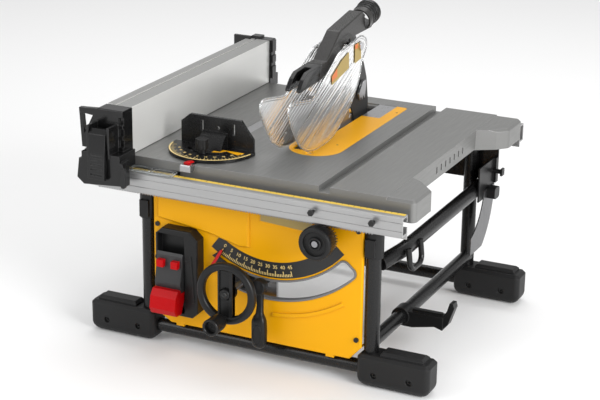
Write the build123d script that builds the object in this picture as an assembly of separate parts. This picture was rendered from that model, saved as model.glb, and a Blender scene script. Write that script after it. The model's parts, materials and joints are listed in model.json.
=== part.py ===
from build123d import *
import math
import os

os.makedirs("parts", exist_ok=True)

# A compact jobsite table saw. All lengths are millimetres. The modelling datum is the front right corner of
# the flat table face: X to the right, Y to the rear, Z up. place() moves each piece to the row frame, whose
# origin is on the floor under the middle of the saw's bounding box.

# Driving dimensions
TABLE = 485.0                    # width and depth of the flat table face
TABLE_HEIGHT = 320.0             # table face above the floor
PLATE = 6.0                      # thickness of the cast plate
SKIRT_DEPTH = 33.0
SKIRT_WALL = 5.0
EAR_REACH = 46.0                 # how far a corner ear stands out past the flat table
SLOT_WIDTH = 19.0                # standard mitre slot
SLOT_DEPTH = 9.8
SLOT_CENTRES = (-336.0, -102.5)
THROAT_LEFT, THROAT_RIGHT = -240.0, -150.0
THROAT_FRONT, THROAT_REAR = 127.0, 450.0
THROAT_RECESS = 3.0
BLADE_DIAMETER = 210.0
BLADE_X = -212.0                 # plane of the blade
ARBOR_Y, ARBOR_Z = 250.0, -42.0
KERF_BODY = 1.8                  # thickness of the blade's plate
PIVOT_X, PIVOT_Z = -200.0, 0.0   # tilt axis, along Y
BEVEL_TRAVEL = 45.0              # degrees
TUBE_R = 12.0                    # legs and carry handle
CROSS_R = 11.0                   # cross tubes and side tubes
LEG_X = (-423.0, -28.0)
LEG_Y = (24.5, 444.5)
CROSS_Z = -294.0
SIDE_Z = -250.0
HANDLE_X, HANDLE_Z = -3.6, -112.0
RAIL_LEFT, RAIL_RIGHT = -512.0, 39.0
RAIL_FRONT_Y = -31.0             # front face of the front rail; the rear rail is its mirror image
RACK_SHAFT_X, RACK_SHAFT_Z = -100.0, -80.0
RACK_MODULE = 1.5
RACK_TEETH = 30                  # teeth of a pinion
PANEL_LEFT, PANEL_RIGHT = -407.0, -40.0
PANEL_Y = 10.0                   # front face of the panel
PANEL_WALL = 3.0
PANEL_TOP, PANEL_BOTTOM = -SLOT_DEPTH - 5.0, -280.0
SLOT_R0, SLOT_R1 = 174.0, 203.0  # radii of the arc slot about the tilt axis
SLOT_A0, SLOT_A1 = -20.2, 47.7   # its ends, in degrees from straight down
WHEEL_X, WHEEL_Z = -243.0, -182.0
WHEEL_R = 51.0
LOCK_X, LOCK_Z = -206.0, -178.0
FENCE_FACE_X = -438.7
FENCE_HEIGHT = 78.5
FENCE_WIDTH = 35.5
MITRE_PIVOT_Y = 82.0
GUARD_PIVOT_Y, GUARD_PIVOT_Z = 312.0, 138.0
FOOT_LENGTH, FOOT_WIDTH = 121.0, 44.0
GEAR_MODULE = 1.5
GEAR_TEETH, PINION_TEETH = 36, 12
MOTOR_DY, MOTOR_DZ = 14.39, -33.0  # motor axis from the arbor: the two pitch radii added
BEVEL_GEAR_R = 14.0
GAP = 0.3                        # clearance between bodies that pass each other
RUN = 0.05                       # radial clearance of a running fit
ORIGIN_X, ORIGIN_Y = -227.5, 216.0


# ---------------------------------------------------------------- helpers

def box(x0, x1, y0, y1, z0, z1):
    """A block between two corners."""
    middle = Pos((x0 + x1) / 2, (y0 + y1) / 2, (z0 + z1) / 2)
    return middle * Box(x1 - x0, y1 - y0, z1 - z0)


def rod_x(x0, x1, y, z, r):
    """A cylinder along X."""
    return Pos((x0 + x1) / 2, y, z) * Rot(0, 90, 0) * Cylinder(r, x1 - x0)


def rod_y(x, y0, y1, z, r):
    """A cylinder along Y."""
    return Pos(x, (y0 + y1) / 2, z) * Rot(90, 0, 0) * Cylinder(r, y1 - y0)


def rod_z(x, y, z0, z1, r):
    """A cylinder along Z."""
    return Pos(x, y, (z0 + z1) / 2) * Cylinder(r, z1 - z0)


def plate_x(points, x0, x1):
    """A polygon of (y, z) points, x1 - x0 thick."""
    face = Face(Wire.make_polygon([Vector(x0, y, z) for y, z in points], close=True))
    return Solid.extrude(face, Vector(x1 - x0, 0, 0))


def plate_y(points, y0, y1):
    """A polygon of (x, z) points, y1 - y0 thick."""
    face = Face(Wire.make_polygon([Vector(x, y0, z) for x, z in points], close=True))
    return Solid.extrude(face, Vector(0, y1 - y0, 0))


def plate_z(points, z0, z1):
    """A polygon of (x, y) points, z1 - z0 thick."""
    face = Face(Wire.make_polygon([Vector(x, y, z0) for x, y in points], close=True))
    return Solid.extrude(face, Vector(0, 0, z1 - z0))


def on_arc(r, degrees, y):
    """A point at radius r about the tilt axis, degrees to the right of straight down."""
    a = math.radians(degrees)
    return Vector(PIVOT_X + r * math.sin(a), y, PIVOT_Z - r * math.cos(a))


def arc_plate(r0, r1, a0, a1, y0, y1):
    """A ring sector about the tilt axis, from angle a0 to a1 and from y0 to y1."""
    middle = (a0 + a1) / 2
    outer = Edge.make_three_point_arc(on_arc(r1, a0, y0), on_arc(r1, middle, y0), on_arc(r1, a1, y0))
    inner = Edge.make_three_point_arc(on_arc(r0, a1, y0), on_arc(r0, middle, y0), on_arc(r0, a0, y0))
    right = Edge.make_line(on_arc(r1, a1, y0), on_arc(r0, a1, y0))
    left = Edge.make_line(on_arc(r0, a0, y0), on_arc(r1, a0, y0))
    return Solid.extrude(Face(Wire([outer, right, inner, left])), Vector(0, y1 - y0, 0))


def arc_slot(grow, y0, y1):
    """The arc slot's outline made larger by grow all round, with its upper end's corners rounded."""
    turn = math.degrees(grow / SLOT_R1)
    slot = arc_plate(SLOT_R0 - grow, SLOT_R1 + grow, SLOT_A0 - turn, SLOT_A1 + turn, y0, y1)
    return fillet(slot.edges().filter_by(Axis.Y).sort_by(Axis.X)[-2:], 8 + grow)


def rounded(shape, r, axis):
    """The shape with its edges along one axis rounded."""
    return fillet(shape.edges().filter_by(axis), r)


def spur(teeth, module, width, bore=0.0):
    """A spur gear about Z with straight-sided teeth and a tooth centred on +X."""
    pitch_r = teeth * module / 2
    root, tip = pitch_r - 1.2 * module, pitch_r + 0.9 * module
    step = 2 * math.pi / teeth
    points = []
    for i in range(teeth):
        for r, part in ((root, -0.29), (tip, -0.13), (tip, 0.13), (root, 0.29)):
            a = (i + part) * step
            points.append(Vector(r * math.cos(a), r * math.sin(a), 0))
    gear = Solid.extrude(Face(Wire.make_polygon(points, close=True)), Vector(0, 0, width))
    if bore:
        gear -= Pos(0, 0, width / 2) * Cylinder(bore, width + 2)
    return gear


def bevel_gear(teeth, r, face, bore):
    """A mitre gear about Z: its pitch cone's apex is the origin, its large end at z = r, a tooth on +X."""
    root = 1.6
    gear = Pos(0, 0, r - face / 2) * Cone(r - face - root, r - root, face)
    step = 2 * math.pi / teeth
    ends = []
    for z in (r - face, r):
        low, high = z - root - 0.6, z + 0.8
        half_low, half_high = 0.27 * step * z, 0.12 * step * z
        corners = [(low, -half_low), (high, -half_high), (high, half_high), (low, half_low)]
        ends.append(Wire.make_polygon([Vector(x, y, z) for x, y in corners], close=True))
    tooth = Solid.make_loft(ends, ruled=True)
    for i in range(teeth):
        gear += Rot(0, 0, i * 360 / teeth) * tooth
    return gear - Pos(0, 0, r) * Cylinder(bore, 3 * r)


def hexagon_x(x0, x1, y, z, across_flats):
    """A hexagonal block along X."""
    r = across_flats / math.sqrt(3)
    turns = [math.radians(60 * i) for i in range(6)]
    return plate_x([(y + r * math.cos(a), z + r * math.sin(a)) for a in turns], x0, x1)


def mirror_front(shape):
    """The shape mirrored from the front of the table to its rear."""
    return shape.mirror(Plane.XZ.offset(-TABLE / 2))


def mirror_left(shape):
    """The shape mirrored from the right of the table to its left."""
    return shape.mirror(Plane.YZ.offset(-TABLE / 2))


def write(name, *pieces):
    """Moves the pieces to the row frame and writes them as one node of separate solids."""
    place = Pos(-ORIGIN_X, -ORIGIN_Y, TABLE_HEIGHT)
    solids = [place * solid for piece in pieces for solid in piece.solids()]
    shape = solids[0] if len(solids) == 1 else Compound(children=solids)
    export_step(shape, f"parts/{name}.step")


# ---------------------------------------------------------------- table

def throat_outline(inset, z0, z1):
    """The throat opening's outline, with a rounded front end, drawn in by inset."""
    x0, x1 = THROAT_LEFT + inset, THROAT_RIGHT - inset
    front_r = (x1 - x0) / 2 - 1
    body = box(x0, x1, THROAT_FRONT + inset, THROAT_REAR - inset, z0, z1)
    front_edges = body.edges().filter_by(Axis.Z).sort_by(Axis.Y)[:2]
    body = fillet(front_edges, front_r)
    rear_edges = body.edges().filter_by(Axis.Z).sort_by(Axis.Y)[-2:]
    return fillet(rear_edges, 8)


def corner_ear():
    """The front right ear: a hollow cast corner with a chamfered upper edge."""
    outline = [(-2, 0), (EAR_REACH, 0), (EAR_REACH, 66), (30, 84), (-2, 104)]
    ear = plate_z(outline, -SKIRT_DEPTH - 2, -0.6)
    ear = fillet(ear.edges().filter_by(Axis.Z).sort_by(Axis.X)[-2:], 9)
    ear = chamfer(ear.faces().sort_by(Axis.Z)[-1].edges().sort_by(Axis.X)[-4:], 4)
    pocket = plate_z([(-2, 5), (EAR_REACH - 5, 5), (EAR_REACH - 5, 63), (27, 80), (-2, 96)], -60, -8)
    return ear - pocket


def make_table():
    """The cast table: a plate with a skirt, slot channels, a throat rim, cross ribs and four corner ears."""
    outer = box(-TABLE, 0, 0, TABLE, -SKIRT_DEPTH, 0)
    inner = box(-TABLE + SKIRT_WALL, -SKIRT_WALL, SKIRT_WALL, TABLE - SKIRT_WALL, -SKIRT_DEPTH - 1, -PLATE)
    table = outer - inner
    for x in SLOT_CENTRES:
        table += box(x - 15, x + 15, 0, TABLE, -SLOT_DEPTH - 5, -1)
    rim = box(THROAT_LEFT - 5, THROAT_RIGHT + 5, THROAT_FRONT - 5, THROAT_REAR + 5, -9, -1)
    table += rounded(rim, 30, Axis.Z)
    for y in (62, 118, 458):
        table += box(-TABLE + 2, -2, y, y + 4, -14, -1)
    for ear in (corner_ear(), mirror_front(corner_ear())):
        table += ear
        table += mirror_left(ear)
    for x in SLOT_CENTRES:
        table -= box(x - SLOT_WIDTH / 2, x + SLOT_WIDTH / 2, -10, TABLE + 10, -SLOT_DEPTH, 1)
    table -= throat_outline(0, -THROAT_RECESS, 5)
    table -= throat_outline(6, -30, 5)
    vent_y = [205 + 19.3 * i for i in range(7)]
    for y in vent_y:
        table -= box(-SKIRT_WALL - 1, 1, y - 2.5, y + 2.5, -24, -13)
    return table


SLOT_X0, SLOT_X1 = -230.0, -204.0   # the blade slot in the throat plate
REAR_PLATE_Y = 371.0


def make_throat_plate():
    """The plate that fills the throat, with the blade slot, a finger hole and screw holes."""
    plate = throat_outline(GAP, -THROAT_RECESS, 0)
    plate -= rounded(box(SLOT_X0, SLOT_X1, 150, 436, -5, 5), 6, Axis.Z)
    plate -= box(SLOT_X0, -171, REAR_PLATE_Y, 470, -5, 5)
    plate -= rod_z(-195, 143.5, -5, 5, 6.5)
    for x, y in THROAT_SCREWS:
        plate -= rod_z(x, y, -5, 5, 2.1)
    return plate


THROAT_SCREWS = ((-172.0, 200.0), (-233.5, 172.0), (-157.5, 415.0))


def make_throat_screws():
    """Three small screws sunk in the throat plate."""
    screws = []
    for x, y in THROAT_SCREWS:
        screws.append(rod_z(x, y, -2.9, -0.2, 2.0))
    return screws


def make_rear_plate():
    """The plain plate beside the blade slot at the throat's rear."""
    plate = box(SLOT_X1 + GAP, -171 - GAP, REAR_PLATE_Y + GAP, THROAT_REAR - GAP, -THROAT_RECESS, -0.4)
    return plate


# ---------------------------------------------------------------- stand

def make_tube_frame():
    """Four upright legs, two cross tubes low down and two side tubes."""
    legs = [rod_z(x, y, -306, -PLATE - 0.2, TUBE_R) for x in LEG_X for y in LEG_Y]
    cross = []
    for y in LEG_Y:
        tube = rod_x(LEG_X[0], LEG_X[1], y, CROSS_Z, CROSS_R)
        for x in LEG_X:
            tube -= rod_z(x, y, -330, 0, TUBE_R)
        cross.append(tube)
    for x in LEG_X:
        tube = rod_y(x, LEG_Y[0], LEG_Y[1], SIDE_Z, CROSS_R)
        for y in LEG_Y:
            tube -= rod_z(x, y, -330, 0, TUBE_R)
        cross.append(tube)
    return legs + cross


def make_carry_handle():
    """The bent tube along the right side, with a small wire loop near its front."""
    path = FilletPolyline((LEG_X[1] + 6, 36, -122), (HANDLE_X, 84, HANDLE_Z), (HANDLE_X, 452, HANDLE_Z),
                          radius=40)
    section = Plane(origin=path @ 0, z_dir=path % 0) * Circle(TUBE_R)
    tube = sweep(section, path=path)
    for y in LEG_Y:
        tube -= rod_z(LEG_X[1], y, -330, 0, TUBE_R)
    loop_path = FilletPolyline((10, 70, -104), (14, 70, -140), (14, 118, -140), (10, 118, -104), radius=14)
    loop = sweep(Plane(origin=loop_path @ 0, z_dir=loop_path % 0) * Circle(4.5), path=loop_path)
    return tube, loop - tube


def foot(leg_x, leg_y, outward):
    """A moulded foot: a long block with four rounded treads, a raised pad and a socket for the leg."""
    inner = leg_x - outward * 17
    outer = inner + outward * FOOT_LENGTH
    x0, x1 = min(inner, outer), max(inner, outer)
    y0, y1 = leg_y - FOOT_WIDTH / 2, leg_y + FOOT_WIDTH / 2
    floor = -TABLE_HEIGHT
    body = box(x0, x1, y0, y1, floor, floor + 55)
    body = fillet(body.edges().filter_by(Axis.Z), 9)
    ends = body.edges().filter_by(Axis.Y)
    body = fillet(ends.sort_by(Axis.Z)[:2], 17)
    body = chamfer(body.faces().sort_by(Axis.Z)[-1].edges(), 5)
    pad_x0, pad_x1 = sorted((leg_x + outward * 20, outer - outward * 12))
    pad = box(pad_x0, pad_x1, y0 + 8, y1 - 8, floor + 50, floor + 62)
    body += chamfer(pad.faces().sort_by(Axis.Z)[-1].edges(), 4)
    for i in range(3):
        x = x0 + FOOT_LENGTH * (0.27 + 0.23 * i)
        body -= rod_y(x, y0 - 5, y1 + 5, floor - 4, 9)
    body -= rod_z(leg_x, leg_y, -306, -200, TUBE_R)
    body -= rod_x(LEG_X[0], LEG_X[1], leg_y, CROSS_Z, CROSS_R)
    for x in foot_screw_places(leg_x, outward):
        body -= rod_y(x, y0 - 1, y0 + 8, floor + 24, 5.4)
    return body


def foot_screw_places(leg_x, outward):
    """The X of the two screws in a foot's front face."""
    return leg_x + outward * 13, leg_x + outward * 72


def make_feet():
    """Four feet, each reaching outward from its leg."""
    feet = []
    for x, outward in zip(LEG_X, (-1, 1)):
        for y in LEG_Y:
            feet.append(foot(x, y, outward))
    return feet


PANEL_SCREWS = ((PANEL_LEFT + 8, -112), (PANEL_LEFT + 8, -245),
                (PANEL_RIGHT - 8, -66), (PANEL_RIGHT - 8, -245))


def make_stand_screws():
    """Two socket screws in the front of each foot, and the panel's four screws."""
    screws = []
    for x, outward in zip(LEG_X, (-1, 1)):
        for y in LEG_Y:
            for place_x in foot_screw_places(x, outward):
                front = y - FOOT_WIDTH / 2
                head = rod_y(place_x, front + 3.5, front + 8, -TABLE_HEIGHT + 24, 5.0)
                head -= rod_y(place_x, front + 3, front + 6, -TABLE_HEIGHT + 24, 2.2)
                screws.append(head)
    for x, z in PANEL_SCREWS:
        screws.append(rod_y(x, PANEL_Y - 2.5, PANEL_Y, z, 4.0))
    return screws


def make_leg_sleeves():
    """A moulded sleeve with a boss round each front leg."""
    sleeves = []
    for x in LEG_X:
        sleeve = rod_z(x, LEG_Y[0], -108, -56, TUBE_R + 3)
        sleeve += box(x - 8, x + 8, LEG_Y[0] - 18, LEG_Y[0], -104, -76)
        sleeves.append(sleeve - rod_z(x, LEG_Y[0], -120, -50, TUBE_R))
    return sleeves


PANEL_RETURN = 28.0   # depth of the panel's side walls


def make_front_panel():
    """The moulded panel: raised badge and label fields, arc slot, switch opening and leg clearances."""
    outline = [(PANEL_LEFT, PANEL_TOP), (PANEL_RIGHT, PANEL_TOP), (PANEL_RIGHT, -258),
               (PANEL_RIGHT - 20, PANEL_BOTTOM), (PANEL_LEFT + 30, PANEL_BOTTOM), (PANEL_LEFT, -262)]
    shell = plate_y(outline, PANEL_Y, PANEL_Y + PANEL_RETURN)
    shell = fillet(shell.faces().sort_by(Axis.Y)[0].edges(), 2.5)
    cavity = [(PANEL_LEFT + 3, 0), (PANEL_RIGHT - 3, 0), (PANEL_RIGHT - 3, -256.5), (PANEL_RIGHT - 21, -277),
              (PANEL_LEFT + 31, -277), (PANEL_LEFT + 3, -260)]
    shell -= plate_y(cavity, PANEL_Y + PANEL_WALL, PANEL_Y + PANEL_RETURN + 5)
    badge = [(-398, -18), (-234, -18), (-234, -124), (-250, -126), (-300, -113), (-398, -100)]
    shell += chamfer(plate_y(badge, PANEL_Y - 5, PANEL_Y + 1).faces().sort_by(Axis.Y)[0].edges(), 3)
    label_field = [(-216, -40), (-124, -40), (-124, -83), (-216, -78)]
    shell += chamfer(plate_y(label_field, PANEL_Y - 2, PANEL_Y + 1).faces().sort_by(Axis.Y)[0].edges(), 1)
    lower_step = arc_plate(226, 232, 2, 34, PANEL_Y - 3, PANEL_Y + 1)
    shell += lower_step
    shell -= arc_slot(3.2, PANEL_Y - 8, PANEL_Y + 20)
    for x in LEG_X:
        shell -= rod_z(x, LEG_Y[0], -330, 0, TUBE_R + 3.3)
    shell -= rod_y(RACK_SHAFT_X, -5, 60, RACK_SHAFT_Z, 9)
    shell -= box(SWITCH_X0 + 8, SWITCH_X1 - 8, 0, 20, -236, -128)
    for x in (PANEL_LEFT + 40, PANEL_RIGHT - 60):
        shell += box(x, x + 14, PANEL_Y, PANEL_Y + 14, PANEL_BOTTOM - 3, PANEL_BOTTOM + 3)
    return shell


SWITCH_X0, SWITCH_X1 = -392.0, -316.0


def make_slot_trim():
    """The grey rim that lines the arc slot."""
    return arc_slot(3, PANEL_Y - 2, PANEL_Y + 8) - arc_slot(0, PANEL_Y - 10, PANEL_Y + 20)


def make_switch_box():
    """The switch housing, sunk into the panel, with a well for the paddle and two pivot ears."""
    outline = [(SWITCH_X0, -120), (SWITCH_X0 + 12, -109), (SWITCH_X1 - 14, -109), (SWITCH_X1, -122),
               (SWITCH_X1, -246), (SWITCH_X1 - 10, -256), (SWITCH_X0 + 12, -256), (SWITCH_X0, -246)]
    shell = plate_y(outline, -12, PANEL_Y)
    shell = fillet(shell.faces().sort_by(Axis.Y)[0].edges(), 3)
    shell += rounded(box(SWITCH_X0 + 9, SWITCH_X1 - 9, PANEL_Y - 1, PANEL_Y + 32, -234, -130), 5, Axis.Y)
    well = box(SWITCH_X0 + 4, SWITCH_X0 + 53, -14, 4, -250, -118)
    shell -= rounded(well, 2, Axis.Y)
    for x in (SWITCH_X0 - 1, SWITCH_X0 + 52.5):
        shell += rod_x(x + 1, x + 5.5, -9, -160, 3.6) & box(x, x + 8, -13, 0, -170, -150)
    shell -= rod_x(SWITCH_X0 + 1.5, SWITCH_X0 + 56, -7, -160, 2.0 + RUN)
    rib = plate_y([(-330, -150), (-326, -150), (-320, -228), (-324, -228)], -13.5, -11)
    return shell + rib


PADDLE_X0, PADDLE_X1 = SWITCH_X0 + 5.0, SWITCH_X0 + 51.0


def make_switch_paddle():
    """The paddle, hinged at its top on a thin rod, with three grooves."""
    profile = [(-16, -152), (-13, -148), (-3, -154), (-3, -166), (-8, -172), (-8, -212), (-21, -212),
               (-23, -196), (-20, -182), (-17, -168)]
    paddle = plate_x(profile, PADDLE_X0, PADDLE_X1)
    paddle += rod_x(SWITCH_X0 + 2, SWITCH_X0 + 55, -7, -160, 2.0)
    for z in (-174, -180, -186):
        paddle -= box(PADDLE_X0 + 6, PADDLE_X1 - 6, -40, -21.6, z - 1.2, z + 1.2)
    return paddle


def make_stop_plate():
    """The wide stop plate at the paddle's lower end, and two tabs above it."""
    profile = [(-21, -212), (-8, -212), (-8, -224), (-20, -248), (-36, -247), (-42, -236), (-38, -216),
               (-30, -206), (-21.75, -206)]
    plate = plate_x(profile, PADDLE_X0, PADDLE_X1)
    tab = [(-25, -159), (-16.4375, -159), (-17, -168), (-17.643, -171), (-25, -171)]
    tabs = [plate_x(tab, x, x + 12) for x in (PADDLE_X0 + 4, PADDLE_X1 - 16)]
    plate = fillet(plate.edges().filter_by(Axis.X).sort_by(Axis.Y)[:3], 3)
    return [plate] + tabs


def make_trunnions():
    """Two fixed plates under the table, each with an arc groove that guides the tilting carriage."""
    outline = [(-285, -PLATE), (-118, -PLATE), (-118, -52), (-150, -80), (-250, -80), (-285, -52)]
    rim = box(THROAT_LEFT - 5, THROAT_RIGHT + 5, THROAT_FRONT - 5, THROAT_REAR + 5, -9, 0)
    plates = []
    for y0, y1 in TRUNNION_Y:
        plate = plate_y(outline, y0, y1)
        reach = SHOE_HALF + 2
        groove = arc_plate(SHOE_R0 - GAP, SHOE_R1 + GAP, -reach, BEVEL_TRAVEL + reach, y0 - 1, y1 + 1)
        plates.append(plate - groove - rim)
    return plates


TRUNNION_Y = ((20.0, 26.0), (420.3, 426.3))
SHOE_R0, SHOE_R1 = 50.0, 58.0
SHOE_HALF = 28.0          # degrees of arc on each side of straight down


def make_rear_panel():
    """The sheet across the back under the table, with cooling fins."""
    plate = box(-435, 16, 457.2, 460.2, -110, -SKIRT_DEPTH - 1)
    plate -= rod_y(RACK_SHAFT_X, 440, 470, RACK_SHAFT_Z, 9)
    fins = [box(x, x + 3, 460.2, 466, -104, -44) for x in range(-330, -240, 12)]
    for fin in fins:
        plate += fin
    return plate


def make_storage_bracket():
    """The bracket on the right rear leg that holds the spare knife."""
    plate = box(8.4, 11.2, 380, 457.2, -126, -66) + box(8.4, 16, 449, 457.2, -110, -66)
    plate += rod_x(10, 30, 446, -88, 4) + box(26, 30, 440, 452, -94, -82)
    return plate - rod_x(0, 40, 425, -119, 4.2)


def make_stored_knife():
    """The spare low knife: a crescent with a mounting slot, held flat against the bracket."""
    outer = rod_x(11.2, 13.2, 330, -110, 122)
    inner = rod_x(10, 15, 318, -98, 86)
    crescent = (outer - inner) & box(10, 15, 345, 460, -210, -112)
    return crescent - rod_x(0, 30, 425, -119, 4.2)


def make_storage_knob():
    """The wing knob that clamps the spare knife to its bracket."""
    stud = rod_x(8.4, 16, 425, -119, 4.0)
    grip = rounded(box(13.5, 28, 413, 437, -129, -109), 6, Axis.X)
    return stud + grip


def make_tool_hook():
    """The hook that clips round the right side tube and turns up at its tip."""
    ring = rod_y(LEG_X[1], 138, 162, SIDE_Z, CROSS_R + 4) - rod_y(LEG_X[1], 130, 170, SIDE_Z, CROSS_R)
    arm = plate_y([(-18, -240), (44, -240), (44, -262), (30, -258), (-8, -266), (-24, -266)], 140, 160)
    ribs = box(-10, 40, 146, 154, -240.5, -236)
    tip = plate_y([(42, -262), (52, -252), (62, -222), (60, -214), (54, -214), (50, -228), (44, -238),
                   (42, -240)], 142, 158)
    hook = ring + arm + ribs + tip
    return hook - rod_y(LEG_X[1], 130, 170, SIDE_Z, CROSS_R)


# ---------------------------------------------------------------- rails

def rail_profile():
    """The front rail's section in Y and Z: a box with a slot in its back and a lip that hangs down."""
    y0, y1 = RAIL_FRONT_Y, RAIL_FRONT_Y + 19
    outer = [(y0, -19), (y0 + 2, -17.6), (y1, -17.6), (y1, -56), (y1 - 2.5, -56), (y1 - 2.5, -48), (y0, -48)]
    cavity = [(y0 + 2.5, -20.2), (y1 - 2.5, -20.2), (y1 - 2.5, -45.5), (y0 + 2.5, -45.5)]
    return outer, cavity


def make_front_rail():
    """The front rail: a hollow box with a slot in its back, a hanging lip and two grooves in its face."""
    outer, cavity = rail_profile()
    rail = plate_x(outer, RAIL_LEFT, RAIL_RIGHT)
    rail -= plate_x(cavity, RAIL_LEFT - 1, RAIL_RIGHT + 1)
    rail -= box(RAIL_LEFT - 1, RAIL_RIGHT + 1, -15, -5, -37.2, -28.8)
    for z in (-26.5, -39.5):
        rail -= plate_x([(RAIL_FRONT_Y - 1, z - 1.2), (RAIL_FRONT_Y + 0.9, z), (RAIL_FRONT_Y - 1, z + 1.2)],
                        RAIL_LEFT - 1, RAIL_RIGHT + 1)
    return rail


def make_rack():
    """The front rail's rack: straight teeth pointing down, with a gap centred over the pinion."""
    pitch = math.pi * RACK_MODULE
    pitch_z = RACK_SHAFT_Z + RACK_MODULE * RACK_TEETH / 2
    root, tip = pitch_z + 1.2 * RACK_MODULE, pitch_z - 0.9 * RACK_MODULE
    left_teeth, right_teeth = 84, 18
    points = []
    for i in range(-left_teeth, right_teeth):
        x = RACK_SHAFT_X + (i + 0.5) * pitch
        for z, part in ((root, -0.29), (tip, -0.13), (tip, 0.13), (root, 0.29)):
            points.append((x + part * pitch, z))
    points.append((points[-1][0] + 3, root))
    points.append((points[-1][0], -49.5))
    points.append((points[0][0] - 3, -49.5))
    points.append((points[0][0] - 3, root))
    return plate_y(points, RAIL_FRONT_Y + 19, RAIL_FRONT_Y + 26.5)


GUIDE_X = (-404.0, -66.0)


def make_rail_mounts():
    """T-shaped sliders bolted to the table's skirt that hold the rails, and the rack shaft's two brackets."""
    mounts = []
    for x in GUIDE_X:
        neck = box(x - 24, x + 24, -16.2, 0, -36.6, -29.4)
        foot_plate = box(x - 24, x + 24, -11, 0, -47, -25)
        head = box(x - 24, x + 24, -27.9, -15.1, -44.6, -21.2)
        slider = neck + head + foot_plate
        mounts.append(slider)
        mounts.append(mirror_front(slider))
    bracket = box(RACK_SHAFT_X - 12, RACK_SHAFT_X + 12, 14, 19.5, -94, -SLOT_DEPTH - 5)
    bracket -= rod_y(RACK_SHAFT_X, 5, 30, RACK_SHAFT_Z, 5 + RUN)
    mounts.append(bracket)
    mounts.append(mirror_front(bracket))
    return mounts


PIN_X = (-106.0, -7.0)


def make_rail_pins():
    """Hexagonal locator pins that stand out of the rails' faces, for the fence to hook on."""
    pins = []
    for x in PIN_X:
        shank = rod_y(x, RAIL_FRONT_Y - 7, RAIL_FRONT_Y, -30, 2.6)
        r = 5.2
        corners = [(x + r * math.cos(math.radians(60 * i)), -30 + r * math.sin(math.radians(60 * i)))
                   for i in range(6)]
        pin = shank + plate_y(corners, RAIL_FRONT_Y - 11, RAIL_FRONT_Y - 6)
        pins.append(pin)
        pins.append(mirror_front(pin))
    return pins


def make_scale_cursor():
    """The clear window that reads the rail's rule, fixed to the table's front skirt."""
    window = box(-433, -352, RAIL_FRONT_Y + 2, -1, -16.6, -14.6)
    window += box(-433, -352, -2.6, 0, -24, -14.6)
    window -= box(-420, -365, RAIL_FRONT_Y + 8, RAIL_FRONT_Y + 11, -15.3, -14)
    return window


def make_rack_shaft():
    """The shaft across the saw with a pinion under each rail."""
    shaft = rod_y(RACK_SHAFT_X, -38, 495.6, RACK_SHAFT_Z, 5.0)
    pinion = Rot(-90, 0, 0) * Rot(0, 0, -90) * spur(RACK_TEETH, RACK_MODULE, 6.0)
    front = Pos(RACK_SHAFT_X, -10.7, RACK_SHAFT_Z) * pinion
    rear = mirror_front(front)
    return shaft + front + rear


def make_rack_knob():
    """The fluted knob on the shaft's front end, with a ring-shaped dish in its face."""
    knob = rod_y(RACK_SHAFT_X, -40, -20, RACK_SHAFT_Z, 27)
    knob = fillet(knob.edges().filter_by(GeomType.CIRCLE), 2.5)
    knob += rod_y(RACK_SHAFT_X, -21, -11.2, RACK_SHAFT_Z, 12)
    dish = rod_y(RACK_SHAFT_X, -41, -37, RACK_SHAFT_Z, 19) - rod_y(RACK_SHAFT_X, -42, -36, RACK_SHAFT_Z, 11)
    return knob - dish - rod_y(RACK_SHAFT_X, -38, 0, RACK_SHAFT_Z, 5.0)


# ---------------------------------------------------------------- tilting carriage

CARRIAGE_FRONT = (26.3, 32.3)
CARRIAGE_REAR = (414.0, 420.0)
SCREW_Y = 62.0
POST_X = -243.0
POST_Y = (86.0, 395.0)
POST_R = 7.0
POST_TOP, POST_BOTTOM = -22.0, -196.0


def make_bevel_carriage():
    """Front and rear plates with arc shoes, joined by a low beam, with lugs that hold the guide posts."""
    outline = [(-275, -18), (-202, -18), (-194, -50), (-194, -212), (-275, -212)]
    solids = []
    for (y0, y1), (groove0, groove1) in zip((CARRIAGE_FRONT, CARRIAGE_REAR), TRUNNION_Y):
        plate = plate_y(outline, y0, y1)
        wing = arc_plate(SHOE_R0, SHOE_R1, -SHOE_HALF, SHOE_HALF, y0, y1)
        shoe_y = min(groove0 + 0.5, y0), max(groove1 - 0.5, y1)
        shoe = arc_plate(SHOE_R0, SHOE_R1, -SHOE_HALF, SHOE_HALF, *shoe_y)
        solids.append(plate + wing + shoe)
    front, rear = solids
    front += box(-262, -226, 31, 96, -30, -22)
    front += box(-262, -226, 31, 96, -212, -200)
    rear += box(-262, -226, 385, 415, -30, -22)
    rear += box(-262, -226, 385, 415, -212, -200)
    carriage = front + rear + box(-262, -242, 31, 415, -212, -200)
    carriage -= rod_z(POST_X, SCREW_Y, -40, 0, 5 + RUN)
    carriage -= rod_y(WHEEL_X, 20, 40, WHEEL_Z, 6 + RUN)
    carriage -= rod_y(LOCK_X, 20, 40, LOCK_Z, 4 + RUN)
    for y in POST_Y:
        carriage -= rod_z(POST_X, y, POST_BOTTOM - 10, -10, POST_R)
    return carriage


def make_guide_posts():
    """The two upright posts that the blade unit slides on."""
    return [rod_z(POST_X, y, POST_BOTTOM - 10, POST_TOP, POST_R) for y in POST_Y]


def make_bevel_pointer():
    """The bush round the wheel shaft that passes the arc slot, and the pointer on it."""
    bush = rod_y(WHEEL_X, 3.4, CARRIAGE_FRONT[0], WHEEL_Z, 11)
    arm = arc_plate(170, 192, -31.5, -12, 3.4, 5.4)
    needle = plate_y([tuple_xz(176, -33.5), tuple_xz(176, -29), tuple_xz(157, -30.3), tuple_xz(157, -31)],
                     3.4, 5.4)
    return bush + arm + needle - rod_y(WHEEL_X, 0, 30, WHEEL_Z, 6 + RUN)


def tuple_xz(r, degrees):
    """A polar point about the tilt axis as (x, z)."""
    point = on_arc(r, degrees, 0)
    return point.X, point.Z


# ---------------------------------------------------------------- blade unit

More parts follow.
